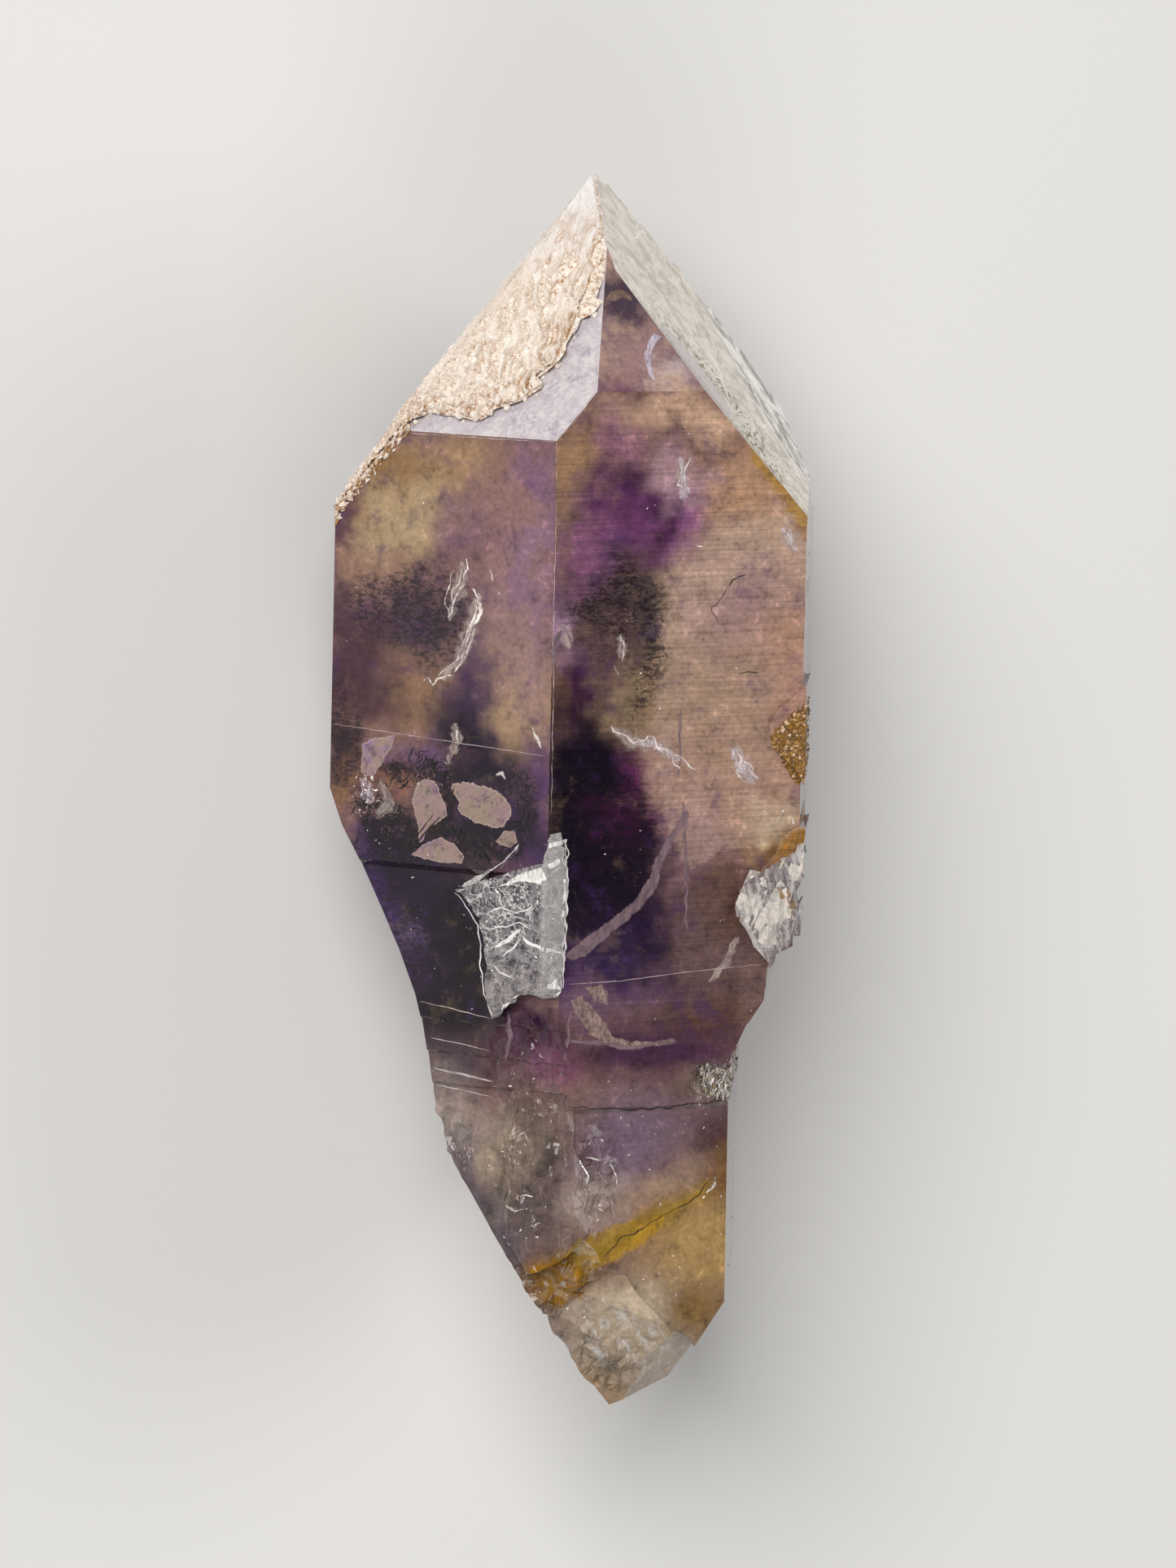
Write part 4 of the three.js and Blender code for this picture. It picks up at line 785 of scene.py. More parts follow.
def glint():
    """Painted glints: tiny chip and cleavage facets in quartz coloured mirror-bright, from silver to smoke."""
    material, tree, output = blank("painted_glint_on_quartz_chip")
    shade = kind_of(tree, "inner")
    base = blended(tree, ranged(tree, shade, 0.25, 0.9), srgb("#75676B"), srgb("#F1E9E2"))
    inputs = {"Base Color": base, "Roughness": 0.12, "IOR": 1.544, "Alpha": ranged(tree, shade, 0.0, 1.0, 0.25, 0.95)}
    shader = add(tree, "BsdfPrincipled", None, inputs)
    tree.links.new(shader.outputs[0], output.inputs["Surface"])
    return material


def floor_board(colours):
    """Matt painted board, rolled: an even pale grey without gloss."""
    material, tree, output = blank("matt_painted_board")
    shader = add(tree, "BsdfPrincipled", None, {"Base Color": (*colours.floor, 1), "Roughness": 0.85})
    tree.links.new(shader.outputs[0], output.inputs["Surface"])
    return material


def inside(point, outline):
    """Whether the point is within the outline, both seen from the front."""
    x, y = point[0], point[1]
    within = False
    for (ax, ay), (bx, by) in zip(outline, outline[1:] + outline[:1]):
        if (ay > y) != (by > y) and x < (bx - ax) * (y - ay) / (by - ay) + ax:
            within = not within
    return within


def rim_distance(x, y, line):
    """How far a place is from a line of points, both seen from the front."""
    nearest = 1000.0
    for (ax, ay), (bx, by) in zip(line, line[1:]):
        t = ((x - ax) * (bx - ax) + (y - ay) * (by - ay)) / ((bx - ax) ** 2 + (by - ay) ** 2)
        t = min(1.0, max(0.0, t))
        nearest = min(nearest, math.hypot(x - ax - (bx - ax) * t, y - ay - (by - ay) * t))
    return nearest


def scaled(at, across, along):
    """How high the crust stands at a place, from -1 to 1, where it is made of tilted scales of that size."""
    spot = Vector((at.x / across, at.y / along, at.z / along))
    near = noise.voronoi(spot)[1][0]
    tilt = noise.cell_vector(near * 31.7) - Vector((0.5, 0.5, 0.5))
    return (tilt.x * (spot.x - near.x) + tilt.y * (spot.y - near.y)) * 2.0 + tilt.z


def kinds(middle, normal):
    """What a facet of the crystal is, from its middle and its way out, both in the growing crystal."""
    grooved = middle.y < 59 and middle.dot(PRISM[1]) > PRISM_RIGHT - 0.12
    proud = {face[1]: middle.dot(face[0]) - face[1] for face in (UPPER_LEFT, OUTER_LEFT)}
    if middle.y > 53 and (proud[UPPER_LEFT[1]] > 0.03 or proud[OUTER_LEFT[1]] > 0.03) and middle.x < 2:
        if inside(middle, CRUST) or normal.x < -0.6:
            return "crusted"
    if middle.y > 53 and normal.dot(UPPER_LEFT[0]) > 0.995:
        return "strip"
    if normal.dot(UPPER_RIGHT[0]) > 0.99 and middle.y > 53 and not grooved:
        return "window"
    if middle.y > 53.5 and normal.x > 0.25 and normal.y > 0.05 and not grooved:
        return "frosted"
    if inside(middle, PLATE) and middle.z > 11 and normal.z > 0.2:
        return "plate"
    ragged = noise.noise(middle * 0.9) * 1.5 + noise.noise(middle * 3.1) * 0.5
    # round the side, their edges wander
    middle = middle + Vector((0, ragged * max(0.0, min(1.0, (7.5 - middle.z) / 3)), 0))
    if inside(middle, BROWN) and normal.x > -0.2 and middle.z > 4.6 + ragged:
        return "iron"
    if inside(middle, SHARDS) and middle.z > 4.2 + ragged:
        return "shard"
    if middle.y < 24 + ragged * 2 and max(normal.dot(face) for face in PRISM) < 0.97:
        return "broken"
    return None


KINDS = ("crusted", "strip", "window", "frosted", "plate", "iron", "shard", "broken")


def finish_piece(bm, name, material):
    """The mesh as a piece of the crystal that rides on its one body."""
    mesh = bpy.data.meshes.new(name)
    bm.to_mesh(mesh)
    bm.free()
    piece = bpy.data.objects.new(name, mesh)
    bpy.context.scene.collection.objects.link(piece)
    mesh.materials.append(material)
    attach(piece, "root")
    return piece


def solid_tree():
    """The solid's surface, for finding where a line of sight meets it."""
    bm = bmesh.new()
    bm.from_mesh(SOLID.data)
    bm.transform(SOLID.matrix_world)
    tree = BVHTree.FromBMesh(bm)
    bm.free()
    return tree


SURFACE = solid_tree()


def filled(at):
    """The point, out of the growth groove that it may lie in: the grooves look shallower than the solid cuts
    them."""
    gap = PRISM_RIGHT - at.dot(PRISM[1])
    return at + PRISM[1] * gap if 0.01 < gap < 0.1 and 26 < at.y < 59 and at.z > 5 else at


def met(x, y, direction=Vector((0, 0, 1))):
    """The front surface at x, y, or along another way in: the point and the way out, in the growing crystal."""
    start = Vector((x, y, 0)) + direction * 60
    hit, normal, _, _ = SURFACE.ray_cast(lying(start), -(TURN @ direction))
    if hit is None:
        return None, None
    return filled(grown(hit)), TURN_BACK @ normal


def bump_at(at, spot):
    """The same as bump_over, for one place."""
    middle, half_width, half_height, lean = spot
    return float(bump_over(np.array([tuple(at)]), middle, (half_width * 1.3, half_height * 1.3), lean)[0])


def bump_over(places, middle, half, lean):
    """1 in the middle of an ellipse seen from the front, falling smoothly to 0 at its edge, for many places."""
    turn = math.radians(lean)
    across, along = places[:, 0] - middle[0], places[:, 1] - middle[1]
    u = (across * math.cos(turn) + along * math.sin(turn)) / half[0]
    v = (along * math.cos(turn) - across * math.sin(turn)) / half[1]
    near = np.clip(1.0 - np.sqrt(u * u + v * v), 0, 1)
    return near * near * (3 - 2 * near)


def paint_zones(mesh, colours):
    """Lays the growth zones' colours and the moss on the corners of the body's facets."""
    places = [grown(vert.co) for vert in mesh.vertices]
    shifts = [
        (noise.noise_vector(p * 0.28) * 2.0 + noise.noise_vector(p * 1.1 + Vector((9, 2, 5))) * 0.9)
        + noise.noise_vector(p * 2.7 + Vector((1, 7, 3))) * 0.25
        for p in places
    ]
    bands = np.array([noise.fractal(p * 0.13, 0.8, 2.0, 4) for p in places])
    places = np.array([tuple(p) for p in places])
    calm = np.clip((places[:, 1] - 20) / 8, 0.3, 1)[:, None]
    moved = places + np.array([tuple(s) for s in shifts]) * calm
    corners = np.zeros(len(mesh.loops), dtype=np.int32)
    mesh.loops.foreach_get("vertex_index", corners)
    normals = np.zeros(len(mesh.polygons) * 3)
    mesh.polygons.foreach_get("normal", normals)
    normals = normals.reshape(-1, 3) @ np.array(TURN)
    turned_right = normals @ np.array(PRISM[1]) > normals @ np.array(PRISM[0])
    right = np.repeat(turned_right, 3)
    at, still, band = moved[corners], places[corners], bands[corners]
    above_stem = np.clip((still[:, 1] - 23.5) / 3.0, 0, 1)
    base = np.where(right[:, None], np.array(colours.right), np.array(colours.left))
    for side, middle, half_width, half_height, lean, code, amount in ZONES:
        here = bump_over(at, middle, (half_width * 1.45, half_height * 1.45), lean) * amount * (1.25 if side == "S" else 1.2)
        if side != "S":
            here = here * above_stem * (right if side == "R" else ~right)
        here = np.clip(here, 0, 1)[:, None]
        base = base * (1 - here) + np.array(srgb(code)[:3]) * here
    soft = places + (moved - places) * 0.22
    for side, outline, code, amount in SECTORS:
        within = np.array([inside(p, outline) for p in soft])[corners]
        here = within * amount * (1 if side == "S" else above_stem * (right if side == "R" else ~right))
        base = base * (1 - here[:, None]) + np.array(srgb(code)[:3]) * here[:, None]
    # Round the back, broad bands of violet and smoke, paler in the stem
    share = np.clip(band * 1.4 + 0.5, 0, 1)[:, None]
    back = np.array(srgb("#5E4460")[:3]) * (1 - share) + np.array(colours.back) * share
    low = np.clip((24 - still[:, 1]) / 16, 0, 1)[:, None]
    back = back * (1 - low) + np.array(srgb("#9C8878")[:3]) * low
    behind = np.clip((7.0 - still[:, 2]) / 5.0, 0, 1)[:, None]
    base = base * (1 - behind) + back * behind
    layer = mesh.color_attributes.new("zones", "FLOAT_COLOR", "CORNER")
    layer.data.foreach_set("color", np.concatenate((base, np.ones((len(base), 1))), axis=1).ravel())
    for name, spots in (("moss", MOSS), ("smoke", SMOKE), ("chipped", CHIPPED)):
        amount = np.zeros(len(places))
        for middle, half_width, half_height, lean in spots:
            here = bump_over(moved, middle, (half_width * 1.3, half_height * 1.3), lean) * 1.8
            amount = np.maximum(amount, here)
        amount[places[:, 2] < 3] = 0
        layer = mesh.attributes.new(name, "FLOAT", "POINT")
        layer.data.foreach_set("value", np.clip(amount, 0, 1))


def strand(bm, width, points, lift, jag, dice, layer, run):
    """A thin sheet of that width along the points, laid on the front surface. The layers hold how near the
    middle a point is, and how far across and along."""
    start_at = dice.uniform(0, 90)
    path = []
    for start, end in zip(points, points[1:]):
        steps = max(2, int(math.dist(start, end) / 0.22))
        path += [(start[0] + (end[0] - start[0]) * i / steps, start[1] + (end[1] - start[1]) * i / steps)
                 for i in range(steps)]
    path.append(points[-1])
    row = None
    for i, (x, y) in enumerate(path):
        before, after = path[max(0, i - 1)], path[min(len(path) - 1, i + 1)]
        along = Vector((after[0] - before[0], after[1] - before[1], 0)).normalized()
        side = Vector((-along.y, along.x, 0))
        t = i / (len(path) - 1)
        wide = width * (0.25 + 0.75 * math.sin(math.pi * t) ** 0.5)
        wide *= 1 + jag * 1.2 * noise.noise(Vector((start_at, i * 0.5, 3)))
        drift = side * jag * 0.3 * noise.noise(Vector((start_at, i * 0.4, 7)))
        places = []
        for share in (-0.5, 0.0, 0.5):
            spot = Vector((x, y, 0)) + drift + side * wide * share
            at, out = met(spot.x, spot.y)
            if at is None:
                break
            places.append(lying(at + out * lift))
        if len(places) < 3:
            row = None
            continue
        if row is None:
            row = [bm.verts.new(place) for place in places]
            edges = [bm.edges.new(row[:2]), bm.edges.new(row[1:])]
            for vert, share, across in zip(row, (0.0, 1.0, 0.0), (-0.5, 0.0, 0.5)):
                vert[layer], vert[run] = share, (across * wide, start_at + i * 0.22, 0)
            continue
        grown_edges = bmesh.ops.extrude_edge_only(bm, edges=edges)["geom"]
        verts = [item for item in grown_edges if isinstance(item, bmesh.types.BMVert)]
        edges = [item for item in grown_edges if isinstance(item, bmesh.types.BMEdge)
                 and all(vert in verts for vert in item.verts)]
        # The new row's vertices, in the old one's order
        following = []
        for old in row:
            following.append(next(edge.other_vert(old) for edge in old.link_edges if edge.other_vert(old) in verts))
        for vert, place, share, across in zip(following, places, (0.0, 1.0, 0.0), (-0.5, 0.0, 0.5)):
            vert.co = place
            vert[layer], vert[run] = share, (across * wide, start_at + i * 0.22, 0)
        row = following


def leaf(bm, outline, lift, ragged, dice, layer, run):
    """A flat flake with that outline, laid on the front surface; layer falls to 0 at its rim."""
    ring = []
    for start, end in zip(outline, outline[1:] + outline[:1]):
        steps = max(1, int(math.dist(start, end) / 0.3))
        for i in range(steps):
            x = start[0] + (end[0] - start[0]) * i / steps + dice.uniform(-ragged, ragged)
            y = start[1] + (end[1] - start[1]) * i / steps + dice.uniform(-ragged, ragged)
            at, out = met(x, y)
            if at is not None:
                ring.append(bm.verts.new(lying(at + out * lift)))
                ring[-1][run] = (x, y, 0)
    face = bm.faces.new(ring)
    face.normal_update()
    border = min(0.4 * MM, 0.5 * face.calc_area() / sum(edge.calc_length() for edge in face.edges))
    made = bmesh.ops.inset_individual(bm, faces=[face], thickness=border, use_even_offset=False)
    for vert in face.verts:
        vert[layer] = 1.0
    bmesh.ops.triangulate(bm, faces=[face] + made["faces"])


def lay_in(pieces):
    """The pieces that lie just over the front faces: each a name, its lines and outlines, its material, how high
    it lies in mm and how jagged it is."""
    dice = Random(5)
    for name, lines, outlines, material, lift, jag in pieces:
        bm = bmesh.new()
        layer = bm.verts.layers.float.new("inner")
        run = bm.verts.layers.float_vector.new("run")
        for width, points in lines:
            strand(bm, width, list(points), lift, jag, dice, layer, run)
        for outline in outlines:
            leaf(bm, list(outline), lift, 0.05, dice, layer, run)
        finish_piece(bm, name, material)


class CRYSTAL_OT_cracks(bpy.types.Operator):
    """Lays in the healed cracks, veils, growth lines, dark seams and stains that show at the front faces, and painted
    highlights along the main edges
    """

    bl_idname = "crystal.cracks"
    bl_label = "Cracks, veils and seams"

    def execute(self, context):
        lay_in((
            ("healed_cracks", HEALED, (), cleft("healed_crack_in_quartz", "#F3E6DE", 0.22, 0.7, 0.98), 0.014, 0.9),
            ("veils", VEILS, (), cleft("veil_of_cavities", "#7C636C", 0.5, 0.9, 0.72, 0.85), 0.010, 0.4),
            ("growth_lines", GROWTH_LINES, (), cleft("open_growth_line", "#D3C2BE", 0.25, 0.5, 0.80, 0.75), 0.014, 0.12),
            ("pale_veils", PALE, (), cleft("pale_healed_veil", "#CDB9B0", 0.4, 0.8, 0.94, 0.5), 0.007, 0.6),
            ("iron_stains", STAINS, (), cleft("iron_stained_film", "#A57838", 0.5, 0.9, 0.88, 0.7, 1.6), 0.03, 0.8),
            ("dark_seams", DARK, (), cleft("iron_seam", "#2C1A10", 0.6, 0.4), 0.016, 0.5),
            # painted highlights along the main edges
            ("painted_edge_highlights", PAINTED_EDGE_HIGHLIGHTS, (), cleft("painted_edge_highlight_film", "#BBA8A0", 0.3, 0.6), 0.012, 0.2),
        ))
        return {"FINISHED"}


class CRYSTAL_OT_flakes(bpy.types.Operator):
    """Lays in the flat flakes, the feathery healed cracks and the blades of the broken places"""

    bl_idname = "crystal.flakes"
    bl_label = "Flakes, feathers and blades"

    def execute(self, context):
        lay_in((
            ("wing_flakes", (), WINGS, cleft("wing_shaped_flake", "#A1877E", 0.3, 0.9, 0.94, 0.8, 1.4), 0.012, 0.1),
            ("long_veil", (), LONG_VEIL, cleft("long_healed_veil", "#846A72", 0.5, 0.9, 0.74, 0.7, 1.4), 0.010, 0.1),
            ("feathers", (), FEATHERS, cleft("feathered_healed_crack", "#EADDE6", 0.3, 0.9, 1.02, 0.68, 2.4), 0.011, 0.1),
            ("amber_films", (), AMBER, cleft("amber_stained_film", "#A58A74", 0.4, 0.9, 0.78, 0.5, 1.0), 0.011, 0.1),
            ("pale_crescent", (), CRESCENT, cleft("pale_healed_crescent", "#DCCEDC", 0.4, 0.9, 0.86, 0.7, 1.4), 0.011, 0.1),
            ("shard_blades", (), BLADES, cleft("broken_quartz_blade", "#DAD0C6", 0.3, 0.25, 0.56, 0.9, 1.2), 0.02, 0.1),
            ("flat_flakes", (), WINDOWS, flake(), 0.008, 0.04),
            ("plate_glaze", PLATE_CRACKS, GLASSY, cleft("broken_plate_edge", "#ECE7E2", 0.25, 0.3, 0.78), 0.014, 0.5),
        ))
        return {"FINISHED"}


class CRYSTAL_OT_moss(bpy.types.Operator):
    """Lays dark threads like moss between the flat flakes"""

    bl_idname = "crystal.moss"
    bl_label = "Mossy threads"

    def execute(self, context):
        dice = Random(6)
        bm = bmesh.new()
        layer = bm.verts.layers.float.new("inner")
        run = bm.verts.layers.float_vector.new("run")
        for _ in range(420):
            middle, half_width, half_height, _lean = dice.choice(MOSS)
            x = middle[0] + dice.uniform(-1, 1) * half_width * 0.8
            y = middle[1] + dice.uniform(-1, 1) * half_height * 0.8
            heading, points = dice.uniform(0, 2 * math.pi), [(x, y)]
            for _ in range(dice.randint(2, 6)):
                heading += dice.gauss(0, 0.7)
                x, y = x + math.cos(heading) * 0.22, y + math.sin(heading) * 0.22
                points.append((x, y))
            if any(inside(spot, outline) for spot in points for outline in WINDOWS):
                continue
            strand(bm, dice.uniform(0.04, 0.10), points, 0.013, 0.5, dice, layer, run)
        finish_piece(bm, "moss_threads", cleft("dark_mossy_thread", "#181014", 0.5, 0.3, 0.62))
        return {"FINISHED"}


class CRYSTAL_OT_grains(bpy.types.Operator):
    """Lays the grains of the iron crust, the rough quartz in the cavity and the splinters among the shards"""

    bl_idname = "crystal.grains"
    bl_label = "Grains and splinters"

    def execute(self, context):
        dice = Random(7)
        # Grains of the iron-stained crust, rough quartz in the cavity and splinters among the shards
        for name, material, slot, outline, count, least, most, slim in (
            ("iron_grains", iron_grain(), "crust", BROWN, 1100, 0.04, 0.15, 0.9),
            ("cavity_grit", grit(), "crystal", CAVITY, 420, 0.05, 0.22, 0.35),
            ("shard_splinters", grit(), "crystal", SHARDS, 90, 0.10, 0.40, 0.22),
        ):
            bm = bmesh.new()
            layer = bm.verts.layers.float.new("inner")
            left, right = min(p[0] for p in outline), max(p[0] for p in outline)
            foot, head = min(p[1] for p in outline), max(p[1] for p in outline)
            for _ in range(count):
                x, y = dice.uniform(left, right), dice.uniform(foot, head)
                at, out = met(x, y)
                if at is None or not inside((x, y), outline):
                    continue
                size = (least + (most - least) * dice.random() ** 2) * MM
                put = Matrix.Translation(lying(at - out * size * 0.2 / MM)) @ TURN.to_4x4()
                if slim < 0.5:
                    put = put @ Matrix.Rotation(math.radians(-14) + dice.gauss(0, 0.25), 4, "Z")
                    put = put @ Matrix.Rotation(dice.gauss(0, 0.2), 4, "X") @ Matrix.Rotation(dice.uniform(0, 6), 4, "Y")
                else:
                    put = put @ Matrix.Rotation(dice.uniform(0, 6), 4, Vector((1, dice.random(), 1)))
                put = put @ Matrix.Diagonal((size * slim, size * (1.6 if slim < 0.5 else 1), size * slim, 1))
                shade = dice.random()
                for vert in bmesh.ops.create_icosphere(bm, subdivisions=1, radius=1.0, matrix=put)["verts"]:
                    vert.co += noise.noise_vector(vert.co / MM * 4) * size * 0.35
                    vert[layer] = shade
            finish_piece(bm, name, material)
        return {"FINISHED"}


class CRYSTAL_OT_glints(bpy.types.Operator):
    """Lays tiny facets, painted bright as glints, where the crystal is cracked or chipped"""

    bl_idname = "crystal.glints"
    bl_label = "Glinting facets"

    def execute(self, context):
        dice = Random(8)
        # Painted glints: tiny facets of cracks and chips coloured bright, a few at random over the faces and many where
        # it is chipped
        bm = bmesh.new()
        layer = bm.verts.layers.float.new("inner")
        for middle, half, lean, count, least, most in GLINTS:
            turn = math.radians(lean)
            for _ in range(count):
                angle, far = dice.uniform(0, 2 * math.pi), dice.random() ** 0.6
                u, v = half[0] * far * math.cos(angle), half[1] * far * math.sin(angle)
                x = middle[0] + u * math.cos(turn) - v * math.sin(turn)
                y = middle[1] + u * math.sin(turn) + v * math.cos(turn)
                at, out = met(x, y)
                if at is None:
                    continue
                size = least + (most - least) * dice.random() ** 3
                tilt = Vector([dice.gauss(0, 0.28) for _ in range(3)])
                way = (out + tilt).normalized()
                put = Matrix.Translation(lying(at + out * 0.012)) @ TURN.to_4x4()
                put = put @ way.to_track_quat("Z", "Y").to_matrix().to_4x4()
                put = put @ Matrix.Rotation(dice.gauss(0.4, 0.7), 4, "Z")
                put = put @ Matrix.Diagonal((size * MM * dice.uniform(0.2, 0.5), size * MM, size * MM, 1))
                made = bmesh.ops.create_circle(bm, cap_ends=True, segments=dice.choice((3, 4, 5, 6)), radius=0.5, matrix=put)
                shade = dice.random()
                for vert in made["verts"]:
                    vert[layer] = shade
        finish_piece(bm, "glints", glint())
        return {"FINISHED"}


class CRYSTAL_OT_body(bpy.types.Operator):
    """Dresses the crystal itself: a copy of the solid in zoned quartz, with the kind of each facet marked"""

    bl_idname = "crystal.body"
    bl_label = "Crystal body"

    def execute(self, context):
        colours = context.scene.crystal_colours
        bm = bmesh.new()
        bm.from_mesh(SOLID.data)
        bm.transform(SOLID.matrix_world)
        bmesh.ops.remove_doubles(bm, verts=bm.verts, dist=1e-7)
        # Cut fine enough to carry the growth zones: to half a millimetre in front, where they have sharp rims
        for reach, depth in ((0.0064, -99), (0.0032, -99), (0.0016, -99), (0.0008, 1.0), (0.0005, 2.0)):
            front = {vert for vert in bm.verts if grown(vert.co).z > depth}
            long = [edge for edge in bm.edges if edge.calc_length() > reach and front.issuperset(edge.verts)]
            bmesh.ops.subdivide_edges(bm, edges=long, cuts=1, use_grid_fill=True)
            bmesh.ops.triangulate(bm, faces=[face for face in bm.faces if len(face.verts) > 3])
        marks = {name: bm.faces.layers.float.new(name) for name in KINDS}
        turned = TURN.inverted()
        for face in bm.faces:
            kind = kinds(grown(face.calc_center_median()), turned @ face.normal)
            if kind:
                face[marks[kind]] = 1.0
        bm.normal_update()
        moves = []
        for vert in bm.verts:
            at = grown(vert.co)
            amount = max(bump_at(at, spot) for spot in CHIPPED) if at.z > 3 and at.y < 28 else 0.0
            if amount > 0.02:
                dent = noise.fractal(at * 0.42, 0.9, 2.1, 3) * 0.42 - abs(noise.noise(at * 1.1)) * 0.32
                moves.append((vert, vert.normal * dent * min(1.0, amount * 2.2) * MM))
        for vert in bm.verts:
            at = grown(vert.co)
            moves.append((vert, lying(filled(at)) - lying(at)))
        for vert, move in moves:
            vert.co += move
        piece = finish_piece(bm, "crystal_body", quartz(colours))
        paint_zones(piece.data, colours)
        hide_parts("crystal")
        return {"FINISHED"}


class CRYSTAL_OT_crust(bpy.types.Operator):
    """Lays the druse's surface over the left of the point"""

    bl_idname = "crystal.crust"
    bl_label = "Druse crust"

    def execute(self, context):
        sizes, colours = context.scene.crystal_sizes, context.scene.crystal_colours
        material = druse(colours)
        cell, relief = sizes.cell / MM, sizes.relief / MM
        bm = bmesh.new()
        height = bm.verts.layers.float.new("height")
        stain = bm.verts.layers.float.new("stain")
        for (out, distance), middle, width, depth in (
            (UPPER_LEFT, Vector((-6.0, 66.0, 0)), 20.0, 30.0),
            (OUTER_LEFT, Vector((-8.0, 62.0, 0)), 22.0, 30.0),
        ):
            across = Vector((0, 1, 0)).cross(out).normalized()
            up = out.cross(across)
            middle = middle + out * (distance - middle.dot(out))
            frame_matrix = Matrix((across, up, out)).transposed().to_4x4()
            frame_matrix.translation = middle
            made = bmesh.ops.create_grid(
                bm, x_segments=int(width / cell), y_segments=int(depth / cell), size=0.5,
                matrix=frame_matrix @ Matrix.Diagonal((width, depth, 1, 1)),
            )["verts"]
            lost = []
            for vert in made:
                hit, normal, _, _ = SURFACE.ray_cast(lying(vert.co + out * 3), -(TURN @ out), 0.006)
                if hit is None:
                    lost.append(vert)
                    continue
                at = grown(hit)
                slope = (TURN.inverted() @ normal).dot(out)
                proud = at.dot(out) - distance
                if slope < 0.3 or proud < 0.06 or proud > 0.9:
                    lost.append(vert)
                    continue
                # Tilted scales: long ones that run down the face and lean left, and small ones like grains
                # towards the lower left
                granular = min(1.0, max(0.0, (-2.0 - at.x - (at.y - 62) * 0.35) / 6.0))
                lean = Vector((at.x * 0.97 - at.y * 0.22, at.y * 0.97 + at.x * 0.22, at.z))
                lean += noise.noise_vector(at * 0.7) * 0.5
                long = scaled(lean, 0.32, 2.8) + scaled(lean, 0.18, 1.5) * 0.6
                short = scaled(lean, 0.48, 0.36) + scaled(lean, 0.22, 0.2) * 0.5
                rise = long * (1 - granular) + short * granular + noise.noise(at * 0.6) * 0.4
                rise = max(-1.0, min(1.0, rise)) * min(1.0, max(0.2, (75.5 - at.y) / 8.0))
                # Calm along the outer edge of the head, where the scales lie flat
                rise *= min(1.0, 0.25 + 0.5 * rim_distance(at.x, at.y, OUTER_EDGE))
                vert.co = lying(at + out * (0.07 + relief * rise))
                vert[height] = 0.5 + 0.5 * rise
                vert[stain] = max(0.0, 1 - rim_distance(at.x, at.y, CRUST[:19]) / 4.5)
            bmesh.ops.delete(bm, geom=lost, context="VERTS")
        bmesh.ops.delete(bm, geom=[v for v in bm.verts if not v.link_faces], context="VERTS")
        finish_piece(bm, "druse_surface", material)
        return {"FINISHED"}


